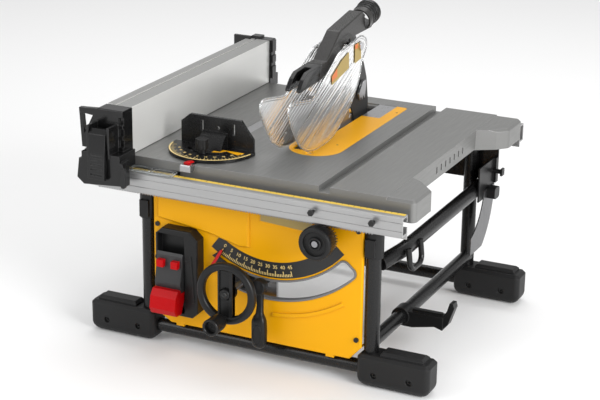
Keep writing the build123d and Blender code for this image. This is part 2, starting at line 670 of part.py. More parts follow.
MOTOR_Y, MOTOR_Z = ARBOR_Y + MOTOR_DY, ARBOR_Z + MOTOR_DZ
CASE_X0, CASE_X1 = -248.0, -221.0
NUT_BOTTOM, NUT_TOP = -96.0, -58.0


def make_slide_frame():
    """The plate that carries the motor, with bosses that run on the posts and the screw nut."""
    frame = plate_x([(52, -92), (52, -62), (96, -62), (200, -62), (216, -14), (300, -14), (316, -62),
                     (407, -62), (407, -92), (330, -124), (200, -124), (120, -96)], -254, -248.2)
    frame += box(-258, -228, 52, 97, NUT_BOTTOM, NUT_TOP)
    frame += box(-258, -228, 383, 407, NUT_BOTTOM, NUT_TOP)
    frame -= rod_z(POST_X, SCREW_Y, -130, 0, 5 + RUN)
    for y in POST_Y:
        frame -= rod_z(POST_X, y, -130, 0, POST_R + RUN)
    frame -= rod_x(-260, -240, MOTOR_Y, MOTOR_Z, 14)
    frame -= rod_x(-260, -240, ARBOR_Y, ARBOR_Z, 10)
    clamp = box(-229, BLADE_X - 1.0, 372, 407, -96, -50)
    return frame + clamp


def make_gearcase():
    """The cup over the pinion and the large gear, closed towards the blade."""
    big, small = 30.8, 13.5
    outer = rod_x(CASE_X0, CASE_X1, ARBOR_Y, ARBOR_Z, big)
    outer += rod_x(CASE_X0, CASE_X1, MOTOR_Y, MOTOR_Z, small + 3)
    inner = rod_x(CASE_X0 - 1, CASE_X1 - 3, ARBOR_Y, ARBOR_Z, 29.1)
    inner += rod_x(CASE_X0 - 1, CASE_X1 - 3, MOTOR_Y, MOTOR_Z, small - 0.5)
    case = outer - inner
    case -= rod_x(-260, -200, ARBOR_Y, ARBOR_Z, 8 + RUN)
    return case


MOTOR_X0, MOTOR_X1 = -362.0, -254.2
MOTOR_R = 42.0


def make_motor_housing():
    """The motor's shell, open at its gear end and vented at the other."""
    shell = rod_x(MOTOR_X0, MOTOR_X1, MOTOR_Y, MOTOR_Z, MOTOR_R)
    shell = fillet(shell.edges().filter_by(GeomType.CIRCLE).sort_by(Axis.X)[:1], 8)
    shell -= rod_x(MOTOR_X0 + 4, MOTOR_X1 + 1, MOTOR_Y, MOTOR_Z, MOTOR_R - 3)
    shell -= rod_x(MOTOR_X0 - 1, MOTOR_X0 + 6, MOTOR_Y, MOTOR_Z, 4.5 + RUN)
    for i in range(12):
        a = math.radians(30 * i)
        y, z = MOTOR_Y + 28 * math.cos(a), MOTOR_Z + 28 * math.sin(a)
        shell -= rod_x(MOTOR_X0 - 1, MOTOR_X0 + 6, y, z, 4)
    return shell


def make_motor_stator():
    """The stator ring inside the shell."""
    ring = rod_x(-335, -275, MOTOR_Y, MOTOR_Z, MOTOR_R - 3)
    return ring - rod_x(-336, -274, MOTOR_Y, MOTOR_Z, 24)


def make_motor_rotor():
    """The rotor: shaft, core, fan, commutator and pinion in one piece."""
    shaft = rod_x(MOTOR_X0 + 1, CASE_X1 - 5, MOTOR_Y, MOTOR_Z, 4.5)
    core = rod_x(-333, -277, MOTOR_Y, MOTOR_Z, 23)
    fan = rod_x(-268, -260, MOTOR_Y, MOTOR_Z, 34)
    commutator = rod_x(-350, -338, MOTOR_Y, MOTOR_Z, 13)
    toward_arbor = math.degrees(math.atan2(-MOTOR_DZ, -MOTOR_DY))
    half_step = 180 / PINION_TEETH
    pinion = gear_along_x(PINION_TEETH, 12, toward_arbor + half_step)
    pinion = Pos(-243, MOTOR_Y, MOTOR_Z) * pinion
    return shaft + core + fan + commutator + pinion


def gear_along_x(teeth, width, degrees, bore=0.0):
    """A spur gear about X with a tooth that points at an angle from +Y towards +Z."""
    flat = Rot(0, 0, degrees) * spur(teeth, GEAR_MODULE, width, bore)
    return Rot(0, 0, 90) * Rot(90, 0, 0) * flat


def make_drive_gear():
    """The large gear on the arbor, turned so that its tooth meets the pinion's gap."""
    toward_motor = math.degrees(math.atan2(MOTOR_DZ, MOTOR_DY))
    return Pos(-243, ARBOR_Y, ARBOR_Z) * gear_along_x(GEAR_TEETH, 12, toward_motor, 8.0)


def make_arbor():
    """The plain shaft that carries the gear and the blade."""
    arbor = rod_x(-247, -198, ARBOR_Y, ARBOR_Z, 8)
    return arbor


FLANGE_R = 21.0


def make_arbor_hardware():
    """The inner flange, the outer flange and the nut on each side of the blade."""
    half = KERF_BODY / 2
    inner = rod_x(BLADE_X - half - 6, BLADE_X - half, ARBOR_Y, ARBOR_Z, FLANGE_R)
    outer = rod_x(BLADE_X + half, BLADE_X + half + 4, ARBOR_Y, ARBOR_Z, FLANGE_R)
    nut = hexagon_x(BLADE_X + half + 4, BLADE_X + half + 13, ARBOR_Y, ARBOR_Z, 24)
    return [piece - rod_x(-260, -190, ARBOR_Y, ARBOR_Z, 8) for piece in (inner, outer, nut)]


BLADE_TEETH = 24


def make_saw_blade():
    """The blade: a disc with hooked gullets, a thicker tip on each tooth and a 16 mm bore."""
    r, gullet = BLADE_DIAMETER / 2, 9.0
    step = 2 * math.pi / BLADE_TEETH
    tooth = ((r - gullet, 0.0), (r - 4, 0.13), (r - 0.4, 0.86), (r - 0.2, 0.97), (r - gullet, 0.9))
    points = []
    for i in range(BLADE_TEETH):
        for radius, part in tooth:
            a = (i + part) * step
            points.append((ARBOR_Y + radius * math.cos(a), ARBOR_Z + radius * math.sin(a)))
    blade = plate_x(points, BLADE_X - KERF_BODY / 2, BLADE_X + KERF_BODY / 2)
    for i in range(4):
        a = math.radians(45 + 90 * i)
        y, z = ARBOR_Y + 62 * math.cos(a), ARBOR_Z + 62 * math.sin(a)
        blade -= rod_x(-230, -190, y, z, 4)
    return blade - rod_x(-230, -190, ARBOR_Y, ARBOR_Z, 8)


def make_blade_shroud():
    """The lower dust shroud: a half ring round the blade, open at the top, with a spout to the rear."""
    x0, x1 = -232.0, -195.6
    below = box(-240, -190, 100, 400, -200, -100)
    outer = rod_x(x0, x1, ARBOR_Y, ARBOR_Z, 116) & below
    inner = rod_x(x0 + 2.5, x1 - 2.5, ARBOR_Y, ARBOR_Z, 113) & box(-240, -190, 100, 400, -200, -90)
    shroud = outer - inner
    spout = rod_y(-214, 310, 372, -128, 17)
    shroud += spout - (rod_x(x0 + 1, x1 - 1, ARBOR_Y, ARBOR_Z, 115))
    shroud -= rod_y(-214, 300, 380, -128, 14.5)
    return shroud


def make_riving_knife():
    """The knife: a plate behind the blade whose front edge follows the rim; it carries the guard arm."""
    outline = [(345, -96), (407, -96), (413, -20), (412, 20), (404, 60), (392, 86), (372, 116), (352, 146),
               (318, 154), (300, 120), (312, 60), (300, 30)]
    plate = plate_x(outline, BLADE_X - 1, BLADE_X + 1)
    plate -= rod_x(-230, -190, ARBOR_Y, ARBOR_Z, BLADE_DIAMETER / 2 + 6)
    plate -= rod_x(-230, -190, GUARD_PIVOT_Y, GUARD_PIVOT_Z, 8)
    return plate - rod_x(-230, -190, PAWL_Y, PAWL_Z, 3 + RUN)


PAWL_Y, PAWL_Z = 384.0, 54.0
ARM_X0, ARM_X1 = -222.5, -198.5
LUG_R = 9.0                  # the pivot lugs inside the arm's cheeks


def make_guard_arm():
    """The hollow arm over the blade, open underneath for the knife, with the dust port at its rear."""
    outline = [(352, 187), (262, 172), (211, 134), (190, 134), (182, 108), (214, 112), (240, 126), (296, 152),
               (390, 152), (396, 160)]
    arm = plate_x(outline, ARM_X0, ARM_X1)
    arm = fillet(arm.edges().filter_by(Axis.X).sort_by(Axis.Z)[-2:], 8)
    arm = chamfer(arm.faces().sort_by(Axis.X)[-1].edges().sort_by(Axis.Z)[-3:], 2)
    cavity = plate_x([(344, 180), (266, 166), (226, 136), (236, 118), (298, 146), (384, 146), (388, 160)],
                     ARM_X0 + 3, ARM_X1 - 3)
    arm -= cavity
    centre = Vector(BLADE_X + 1.5, 392, 172)
    direction = Vector(0, math.cos(math.radians(12)), math.sin(math.radians(12)))
    port = Solid.make_cylinder(19.5, 40, Plane(centre - direction * 24, z_dir=direction))
    port += Solid.make_cylinder(21.5, 8, Plane(centre + direction * 8, z_dir=direction))
    arm += port
    arm -= Solid.make_cylinder(16.5, 60, Plane(centre - direction * 30, z_dir=direction))
    arm -= box(BLADE_X - 1, BLADE_X + 1, 280, 420, 90, 155)
    for x0 in (ARM_X0, ARM_X1 - 3):
        arm += rod_x(x0, x0 + 3, GUARD_PIVOT_Y, GUARD_PIVOT_Z, LUG_R)
        arm += box(x0, x0 + 3, GUARD_PIVOT_Y - LUG_R, GUARD_PIVOT_Y + LUG_R, GUARD_PIVOT_Z, 154)
    return arm - rod_x(-260, -150, GUARD_PIVOT_Y, GUARD_PIVOT_Z, 4 + RUN)


def make_arm_nose():
    """The arm's black nose, forked into two prongs in front."""
    outline = [(210, 133.5), (188, 133.5), (138, 131), (124, 123), (106, 104), (122, 106), (181, 107.8)]
    nose = plate_x(outline, ARM_X0 - 1, ARM_X1 + 1)
    nose = fillet(nose.edges().filter_by(Axis.X).sort_by(Axis.Y)[:3], 3)
    nose -= box(BLADE_X - 4.5, BLADE_X + 7.5, 90, 168, 90, 140)
    arm_end = plate_x([(211, 134), (190, 134), (182, 108), (214, 112)], ARM_X0 - 3, ARM_X1 + 3)
    return nose - arm_end


# ---------------------------------------------------------------- clear guards and pawls

GUARD_X = (-236.5, -184.5)   # outer faces of the left and the right guard
GUARD_WALL = 3.0
RIB_HEIGHT = 2.5


def guard_panel(x0, x1):
    """A clear barrier guard's panel: pivot eye, curved rear edge down to the table, rounded nose in front."""
    outline = [(290, 152), (318, 156), (340, 146), (344, 130), (324, 112), (316, 82), (284, 46), (248, 26),
               (218, 9), (190, 3.5), (150, 3.0), (116, 8), (84, 28), (56, 66), (42, 94), (46, 104), (60, 106),
               (136, 92), (200, 128), (232, 146)]
    return plate_x(outline, x0, x1)


def make_guard(outer_x, side):
    """One guard: the panel, a turned-in rim over its nose, ribs along it and a hub on the pivot."""
    inner_x = outer_x - side * GUARD_WALL
    x0, x1 = min(outer_x, inner_x), max(outer_x, inner_x)
    guard = guard_panel(x0, x1)
    for i in range(7):
        foot_y, top_y, top_z = 92 + 20 * i, 186 + 17 * i, 118 + 3 * i
        raised_x = outer_x + side * RIB_HEIGHT
        rib = plate_x([(foot_y, 12), (foot_y + 4, 12), (top_y + 4, top_z), (top_y, top_z)],
                      min(outer_x, raised_x), max(outer_x, raised_x))
        guard += rib & guard_panel(-260, -160)
    rim_x = outer_x - side * 9
    rim = guard_panel(min(rim_x, outer_x), max(rim_x, outer_x)) & box(-260, -160, 30, 80, 0, 120)
    rim -= Pos(0, 2.5, -1.5) * guard_panel(-260, -160) & box(-260, -160, 44, 81, 0, 104)
    guard += rim
    hub_x = outer_x - side * 12
    guard += rod_x(min(hub_x, outer_x), max(hub_x, outer_x), GUARD_PIVOT_Y, GUARD_PIVOT_Z, 9)
    return guard


def make_guards():
    """The left guard on its bush and the right guard on the pin."""
    left = make_guard(GUARD_X[0], -1) - rod_x(-260, -150, GUARD_PIVOT_Y, GUARD_PIVOT_Z, 6 + RUN)
    right = make_guard(GUARD_X[1], 1) - rod_x(-260, -150, GUARD_PIVOT_Y, GUARD_PIVOT_Z, 4 + RUN)
    return left, right


def make_guard_pin():
    """The pin through the arm that both guards hang on."""
    pin = rod_x(-239.5, -181, GUARD_PIVOT_Y, GUARD_PIVOT_Z, 4.0)
    head = rod_x(-183.7, -180.5, GUARD_PIVOT_Y, GUARD_PIVOT_Z, 7.0)
    return pin + head


def make_guard_bush():
    """The bush between the pin and the left guard."""
    bush = rod_x(-239.2, -224.3, GUARD_PIVOT_Y, GUARD_PIVOT_Z, 6.0)
    return bush - rod_x(-250, -210, GUARD_PIVOT_Y, GUARD_PIVOT_Z, 4 + RUN)


def make_pawls():
    """Two toothed pawls on one pin through the knife."""
    pieces = rod_x(BLADE_X - 6.3, BLADE_X + 6.3, PAWL_Y, PAWL_Z, 3.0)
    shape = [(-6, 5), (6, 5), (6, -8), (2, -26), (-4, -20), (-8, -27), (-14, -20), (-18, -26), (-22, -14),
             (-10, 0)]
    outline = [(PAWL_Y + dy, PAWL_Z + dz) for dy, dz in shape]
    for x0, x1 in ((BLADE_X - 6.3, BLADE_X - 2.3), (BLADE_X + 2.3, BLADE_X + 6.3)):
        pieces += plate_x(outline, x0, x1)
    return pieces


# ---------------------------------------------------------------- handwheel, screw and lock

WHEEL_Y0, WHEEL_Y1 = -58.0, -43.0
CRANK_X, CRANK_Z = WHEEL_X - 5.0, WHEEL_Z - 42.5


def make_height_wheel():
    """A handwheel with a rounded rim and one broad upright spoke."""
    middle = (WHEEL_Y0 + WHEEL_Y1) / 2
    rim = Pos(WHEEL_X, middle, WHEEL_Z) * Rot(90, 0, 0) * Torus(WHEEL_R - 6.5, 6.5)
    spoke = rod_y(WHEEL_X, -56, -47, WHEEL_Z, WHEEL_R - 7)
    spoke &= box(WHEEL_X - 14, WHEEL_X + 14, -60, -40, -240, -120)
    hub = rod_y(WHEEL_X, -60, -38, WHEEL_Z, 13)
    boss = rod_y(CRANK_X, -60, -46, CRANK_Z, 12)
    wheel = rim + spoke + hub + boss
    wheel -= rod_y(WHEEL_X, -50, -30, WHEEL_Z, 6.0)
    return wheel - rod_y(CRANK_X, -66, -50, CRANK_Z, 5 + RUN)


def make_wheel_shaft():
    """The handwheel's shaft with a mitre gear at its inner end."""
    shaft = rod_y(WHEEL_X, -50, SCREW_Y - 6, WHEEL_Z, 6.0)
    gear = Rot(90, 0, 0) * Rot(0, 0, 90) * bevel_gear(16, BEVEL_GEAR_R, 6, 5.9)
    gear = Pos(WHEEL_X, SCREW_Y, WHEEL_Z) * gear
    return shaft + gear


def make_height_screw():
    """The lead screw that stands over the mitre gears."""
    half_step = 360 / 16 / 2
    screw = rod_z(POST_X, SCREW_Y, WHEEL_Z + 8, POST_TOP + 4, 5.0)
    gear = Pos(POST_X, SCREW_Y, WHEEL_Z) * Rot(0, 0, -90 + half_step) * bevel_gear(16, BEVEL_GEAR_R, 6, 4.9)
    return screw + gear


def make_crank_knob():
    """The knob that spins on the handwheel, with a recess in its face."""
    knob = rod_y(CRANK_X, -96, -62, CRANK_Z, 14)
    knob = fillet(knob.edges().filter_by(GeomType.CIRCLE), 3)
    knob -= rod_y(CRANK_X, -97, -90, CRANK_Z, 9)
    return knob + rod_y(CRANK_X, -64, -51, CRANK_Z, 5.0)


def make_lock_lever():
    """The bevel lock: a boss, a flat arm, a rounded grip and the bolt behind."""
    boss = rod_y(LOCK_X, -18, -3, LOCK_Z, 13)
    boss = fillet(boss.edges().filter_by(GeomType.CIRCLE).sort_by(Axis.Y)[:1], 3)
    arm = plate_y([(LOCK_X - 9, LOCK_Z), (LOCK_X + 9, LOCK_Z), (LOCK_X + 8, -232), (LOCK_X - 4, -232)],
                  -17, -8)
    grip = box(LOCK_X - 10, LOCK_X + 14, -27, -9, -276, -222)
    grip = fillet(grip.edges().filter_by(Axis.Y), 8)
    grip = fillet(grip.faces().sort_by(Axis.Y)[0].edges(), 4)
    bolt = rod_y(LOCK_X, -8, CARRIAGE_FRONT[1] + 4, LOCK_Z, 4.0)
    return boss + arm + grip + bolt


# ---------------------------------------------------------------- rip fence

FENCE_X0, FENCE_X1 = FENCE_FACE_X - FENCE_WIDTH, FENCE_FACE_X
FENCE_Y0, FENCE_Y1 = -0.35, 485.35


def make_fence_body():
    """The fence extrusion: a box section with a groove along its top."""
    fence = box(FENCE_X0, FENCE_X1, FENCE_Y0, FENCE_Y1, 1, FENCE_HEIGHT)
    fence -= box(FENCE_X0 + 2.5, FENCE_X1 - 2.5, FENCE_Y0 - 1, FENCE_Y1 + 1, 3.5, FENCE_HEIGHT - 6)
    fence -= box(FENCE_X0 + 6, FENCE_X0 + 10, FENCE_Y0 - 1, FENCE_Y1 + 1, FENCE_HEIGHT - 3, FENCE_HEIGHT + 1)
    return fence


SUPPORT_X = FENCE_X0 - 3.0
SUPPORT_Z = 9.0
PEG_R = 2.4


def make_fence_support():
    """The narrow work support, stored upright against the fence, on two end pegs."""
    blade = box(SUPPORT_X - 2.2, SUPPORT_X + 2.2, 6, 480, SUPPORT_Z, FENCE_HEIGHT - 0.5)
    lip = box(SUPPORT_X - 7, SUPPORT_X + 2.2, 6, 480, FENCE_HEIGHT - 3, FENCE_HEIGHT - 0.5)
    pegs = rod_y(SUPPORT_X, FENCE_Y0 - 6, FENCE_Y1 + 6, SUPPORT_Z, PEG_R)
    return blade + lip + pegs


HEAD_TOP = 79.0


def make_fence_front_head():
    """The moulded head: end cap, windowed wing, saddle over the rail, skirt in front and a finger tab."""
    cap = rounded(box(-482, -436.5, -30, FENCE_Y0, -11, HEAD_TOP), 2, Axis.X)
    wing = plate_y([(-516, HEAD_TOP - 3), (-482, HEAD_TOP - 1), (-482, 12), (-512, 12)], -30, -22)
    window = plate_y([(-510, 68), (-491, 66), (-507, 34)], -40, -10)
    saddle = box(-497, -428, -56, -8, -11, 14)
    skirt = plate_y([(-502, 2), (-424, 2), (-418, -12), (-418, -34), (-494, -40), (-506, -30)], -56, -42.5)
    bridge = box(-497, -424, -50, -33, -14, 4)
    cheeks = [box(x, x + 4, -58, -28, 8, 58) for x in (-486, -449)]
    head = cap + saddle + skirt + bridge + cheeks[0] + cheeks[1]
    head += wing
    head -= window
    for z in (20, 38, 56):
        head -= box(-444, -436, -31, -26, z, z + 12)
    tab = rounded(box(-424, -417, -60, -54, -36, -4), 2, Axis.Y)
    head += tab
    head -= rod_y(SUPPORT_X, FENCE_Y0 - 7, 5, SUPPORT_Z, PEG_R + RUN)
    return head - rod_x(-490, -440, LATCH_Y, LATCH_Z, 3 + RUN)


LATCH_Y, LATCH_Z = -48.0, 46.0


def make_fence_latch():
    """The front latch lever, hinged at its top between the head's cheeks."""
    profile = [(-43, 52), (-52, 53), (-60, 46), (-64, 10), (-66, -26), (-59.5, -28), (-57, -4), (-57.2, 16),
               (-45, 40)]
    lever = plate_x(profile, -480.5, -450.5)
    for z in (-20, -12, -4, 4, 12):
        lever -= box(-476, -455, -70, -63.4, z, z + 3)
    return lever + rod_x(-485.5, -445.5, LATCH_Y, LATCH_Z, 3.0)


REAR_LATCH_Y, REAR_LATCH_Z = 512.0, 64.0


def make_fence_rear_head():
    """The rear head: end cap, saddle, wing, notched plate and two cheeks for the latch."""
    cap = box(-480, -436.5, FENCE_Y1, 506, -11, HEAD_TOP)
    saddle = box(-478, -440, 500, 524, -11, 10)
    wing = box(-512, -478, 488, 494, 58, HEAD_TOP + 2)
    ledge = box(-478, -460, 492, 508, 70, HEAD_TOP + 3)
    face = box(-438.5, -432.5, 487, 501, 8, HEAD_TOP - 1)
    for z in (30, 50):
        face -= box(-434.6, -430, 480, 510, z, z + 7)
    cheeks = [box(x, x + 4, 504, 518, 54, 74) for x in (-474, -446)]
    head = cap + saddle + wing + ledge + face + cheeks[0] + cheeks[1]
    head -= rod_y(SUPPORT_X, 480, FENCE_Y1 + 7, SUPPORT_Z, PEG_R + RUN)
    return head - rod_x(-480, -436, REAR_LATCH_Y, REAR_LATCH_Z, 3 + RUN)


def make_rear_latch():
    """The rear latch lever, hinged between the cheeks and rounded about its pin."""
    profile = [(508.5, 66.5), (512, 69.5), (517, 70), (522, 60), (528, 16), (528, -30), (524.5, -30),
               (524.5, 14), (508.5, 56)]
    lever = plate_x(profile, -469.7, -446.3)
    return lever + rod_x(-473.5, -442.5, REAR_LATCH_Y, REAR_LATCH_Z, 3.0)


# ---------------------------------------------------------------- mitre gauge

BAR_X = SLOT_CENTRES[0]
KNOB_RADIUS = 38.0      # the lock knob's distance from the gauge's pivot


def make_mitre_bar():
    """The bar that slides in the table's slot, with the pivot, the lock stud and a pointer."""
    half = SLOT_WIDTH / 2 - 0.12
    bar_solid = box(BAR_X - half, BAR_X + half, -12, 330, -SLOT_DEPTH + 0.2, -0.4)
    bar_solid += rod_z(BAR_X, MITRE_PIVOT_Y, -1, 6.2, 4.0)
    stud = rod_z(BAR_X, MITRE_PIVOT_Y - KNOB_RADIUS, -1, 24, 3.0)
    pointer = plate_z([(BAR_X - 7, -8), (BAR_X + 7, -8), (BAR_X + 2, 8.5), (BAR_X - 2, 8.5)], -0.6, 1.6)
    return bar_solid + stud + pointer


def make_mitre_head():
    """The half-round protractor plate, its upright work plate and the web between them."""
    base_z0, base_z1 = 0.6, 5.6
    disc = rod_z(BAR_X, MITRE_PIVOT_Y, base_z0, base_z1, 72) & box(-450, -200, 0, MITRE_PIVOT_Y + 6, 0, 10)
    upright = [(-398, base_z0), (-268, base_z0), (-268, 24), (-290, 53), (-382, 53), (-398, 40)]
    wall = plate_y(upright, MITRE_PIVOT_Y + 6, MITRE_PIVOT_Y + 12)
    wall -= rounded(box(-362.5, -357.5, 70, 110, 27, 46), 2, Axis.Y)
    wall -= rounded(box(-305.5, -300.5, 70, 110, 27, 46), 2, Axis.Y)
    wall -= rod_y(-331, 70, 110, 36, 3)
    web = plate_x([(MITRE_PIVOT_Y + 7, 5), (MITRE_PIVOT_Y + 7, 30), (MITRE_PIVOT_Y - 4, 24),
                   (MITRE_PIVOT_Y - 20, 5)], BAR_X - 22, BAR_X + 22)
    head = disc + web + wall
    head -= rod_z(BAR_X, MITRE_PIVOT_Y, -1, 7, 4 + RUN)
    groove = rod_z(BAR_X, MITRE_PIVOT_Y, -1, 40, KNOB_RADIUS + 3.4)
    groove -= rod_z(BAR_X, MITRE_PIVOT_Y, -2, 50, KNOB_RADIUS - 3.4)
    reach = math.radians(66)
    far = 90.0
    side_x, side_y = far * math.sin(reach), MITRE_PIVOT_Y - far * math.cos(reach)
    sector = plate_z([(BAR_X, MITRE_PIVOT_Y), (BAR_X - side_x, side_y), (BAR_X - far, -80),
                      (BAR_X + far, -80), (BAR_X + side_x, side_y)], -5, 60)
    return head - (groove & sector)


def make_mitre_knob():
    """The six-lobed lock knob."""
    z0, z1 = 6.0, 30.0
    centre_y = MITRE_PIVOT_Y - KNOB_RADIUS
    knob = rod_z(BAR_X, centre_y, z0, z0 + 8, 7) + rod_z(BAR_X, centre_y, z0 + 8, z1, 10.5)
    for i in range(6):
        a = math.radians(60 * i)
        knob -= rod_z(BAR_X + 12.5 * math.cos(a), centre_y + 12.5 * math.sin(a), z0 + 7, z1 + 1, 3.2)
    return knob - rod_z(BAR_X, centre_y, 0, 24.2, 3 + RUN)


# ---------------------------------------------------------------- write every node

write("table_top", make_table())
write("throat_plate", make_throat_plate())
write("throat_rear_plate", make_rear_plate())
write("tube_frame", *make_tube_frame())
write("carry_handle", *make_carry_handle())
write("feet", *make_feet())
write("small_screws", *make_stand_screws(), *make_throat_screws())
write("leg_sleeves", *make_leg_sleeves())
write("front_panel", make_front_panel())
write("slot_trim", make_slot_trim())
write("switch_box", make_switch_box())
write("switch_paddle", make_switch_paddle())
write("stop_plate", *make_stop_plate())
write("trunnions", *make_trunnions())
write("rear_panel", make_rear_panel())
write("storage_bracket", make_storage_bracket(), make_storage_knob())
write("stored_knife", make_stored_knife())
write("tool_hook", make_tool_hook())
write("rail_mounts", *make_rail_mounts())
write("scale_cursor", make_scale_cursor())
write("front_rail", make_front_rail())
write("rear_rail", mirror_front(make_front_rail()))
write("racks", make_rack(), mirror_front(make_rack()))
write("rail_pins", *make_rail_pins())
write("rack_shaft", make_rack_shaft())
write("rack_knob", make_rack_knob())
write("bevel_carriage", make_bevel_carriage())
write("guide_posts", *make_guide_posts())
write("bevel_pointer", make_bevel_pointer())
write("slide_frame", make_slide_frame())
write("gearcase", make_gearcase())
write("motor_housing", make_motor_housing(), make_motor_stator())
write("motor_rotor", make_motor_rotor())
write("drive_gear", make_drive_gear())
write("arbor_shaft", make_arbor())
write("arbor_hardware", *make_arbor_hardware())
write("saw_blade", make_saw_blade())
write("blade_shroud", make_blade_shroud())
write("riving_knife", make_riving_knife())
write("guard_arm", make_guard_arm())
write("arm_nose", make_arm_nose())
left_guard, right_guard = make_guards()
write("left_guard", left_guard)
write("right_guard", right_guard)
write("guard_pin", make_guard_pin())
write("guard_bush", make_guard_bush())
write("kickback_pawls", make_pawls())
write("height_wheel", make_height_wheel())
write("wheel_shaft", make_wheel_shaft())
write("height_screw", make_height_screw())
write("crank_knob", make_crank_knob())
write("lock_lever", make_lock_lever())
write("fence_body", make_fence_body())
write("fence_support", make_fence_support())
write("fence_front_head", make_fence_front_head())
write("fence_latch", make_fence_latch())
write("fence_rear_head", make_fence_rear_head())
write("rear_latch", make_rear_latch())
write("mitre_bar", make_mitre_bar())
write("mitre_head", make_mitre_head())
write("mitre_knob", make_mitre_knob())
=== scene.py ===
# %% [markdown]
# # A compact table saw, finished in Blender
# The solid parts of the saw are already modelled and packed. This lesson loads them, gives each one a
# finish that is worked out from its place in space, and adds the pieces that are easier to draw as surfaces
# than to cut as solids: printed scales, clear guards, handles, rings and screws. Everything is in metres, X
# to the right, Y to the rear, Z up, with the floor at Z = 0.

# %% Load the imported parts
import json
import math
import bpy
import bmesh
import numpy as np
from mathutils import Matrix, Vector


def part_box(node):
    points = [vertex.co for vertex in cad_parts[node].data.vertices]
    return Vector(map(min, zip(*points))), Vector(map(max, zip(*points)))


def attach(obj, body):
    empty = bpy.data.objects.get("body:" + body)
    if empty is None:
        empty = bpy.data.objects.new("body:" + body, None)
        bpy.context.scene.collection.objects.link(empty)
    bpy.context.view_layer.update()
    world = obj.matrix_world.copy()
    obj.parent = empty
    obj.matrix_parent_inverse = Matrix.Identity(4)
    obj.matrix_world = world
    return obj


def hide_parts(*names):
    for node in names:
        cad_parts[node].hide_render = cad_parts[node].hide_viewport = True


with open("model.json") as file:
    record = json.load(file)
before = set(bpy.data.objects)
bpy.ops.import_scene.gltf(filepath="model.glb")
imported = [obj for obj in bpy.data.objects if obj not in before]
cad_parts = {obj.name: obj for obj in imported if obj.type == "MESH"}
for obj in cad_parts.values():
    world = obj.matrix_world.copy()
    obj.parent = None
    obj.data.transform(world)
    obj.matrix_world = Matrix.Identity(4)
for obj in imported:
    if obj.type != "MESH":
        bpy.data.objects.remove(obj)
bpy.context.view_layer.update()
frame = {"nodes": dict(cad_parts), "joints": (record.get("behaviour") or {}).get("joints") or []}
nodes = frame["nodes"]
joints = {j["name"]: j for j in frame["joints"]}

# %% [markdown]
# ## Where things are
# A saw is measured from its table, so the pieces here are placed in millimetres from the front right corner
# of the flat table face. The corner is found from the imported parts: the front rail is 39 mm longer than the
# table on the right and 31 mm in front of it, and the table face is the table's highest point.

# %% The datum and the two functions that use it
MM = 0.001
rail_low, rail_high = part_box("front_rail")
corner = np.array([rail_high.x - 39 * MM, rail_low.y + 31 * MM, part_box("table_top")[1].z])


def at(x, y, z):
    """A point in millimetres from the table's corner, as metres in the shared frame."""
    return corner + np.array([x, y, z], float) * MM


def joint_at(name):
    """The point that a joint turns about."""
    return np.array(joints[name]["pos_m"], float)


tilt_axis = joint_at("bevel_tilt")
print("table corner", corner.round(4), "tilt axis", tilt_axis.round(4))

# %% [markdown]
# ## The camera first
# The camera stands a little over two metres in front of the saw and to its right, and looks down on it. A
# long lens keeps the sides of the table nearly parallel. Its axes are written as a matrix: right, up and
# back.

# %% Camera
FORWARD = np.array([-0.40480, 0.85234, -0.33112])
LEVEL_RIGHT = np.array([0.90330, 0.42900, 0.0])
LEVEL_UP = np.array([-0.14205, 0.29910, 0.94358])
ROLL = math.radians(0.7279)
CAMERA_PLACE = (933.76, -2266.69, 852.73)     # mm from the table's corner
LENS_MM = 104.79
FILM_MM = 36
FAR_CLIP = 50                                 # m


def add_camera():
    """A camera whose right and up axes are the level ones turned by the roll angle."""
    right = LEVEL_RIGHT * math.cos(ROLL) + LEVEL_UP * math.sin(ROLL)
    up = -LEVEL_RIGHT * math.sin(ROLL) + LEVEL_UP * math.cos(ROLL)
    camera = bpy.data.objects.new("camera", bpy.data.cameras.new("camera"))
    bpy.context.scene.collection.objects.link(camera)
    place = np.eye(4)
    place[:3, 0], place[:3, 1], place[:3, 2] = right, up, -FORWARD
    place[:3, 3] = at(*CAMERA_PLACE)
    camera.matrix_world = Matrix(place.tolist())
    camera.data.lens = LENS_MM
    camera.data.sensor_width = FILM_MM
    camera.data.clip_end = FAR_CLIP
    bpy.context.scene.camera = camera
    return camera


camera = add_camera()
print("camera at", [round(v, 3) for v in camera.matrix_world.translation])

# %% [markdown]
# ## Surfaces from arrays
# Each new piece is a grid of points worked out with numpy. A turned part is a profile carried round an
# axis, a tube is a circle carried along a path, and a plate is an outline carried through its thickness.
# One function joins the grid's points into faces, and another puts the arrays into a Blender mesh.


# %% Grid helpers
MERGE_DISTANCE = 1e-6       # m, closer points are one


def grid_faces(rows, columns, close_rows=False, close_columns=True):
    """Quads between neighbouring points of a grid; a closed direction joins its last line to its first."""
    r = np.arange(rows if close_rows else rows - 1)
    c = np.arange(columns if close_columns else columns - 1)
    r, c = np.meshgrid(r, c, indexing="ij")
    r1, c1 = (r + 1) % rows, (c + 1) % columns
    quads = np.stack([r * columns + c, r * columns + c1, r1 * columns + c1, r1 * columns + c], -1)
    return quads.reshape(-1, 4)


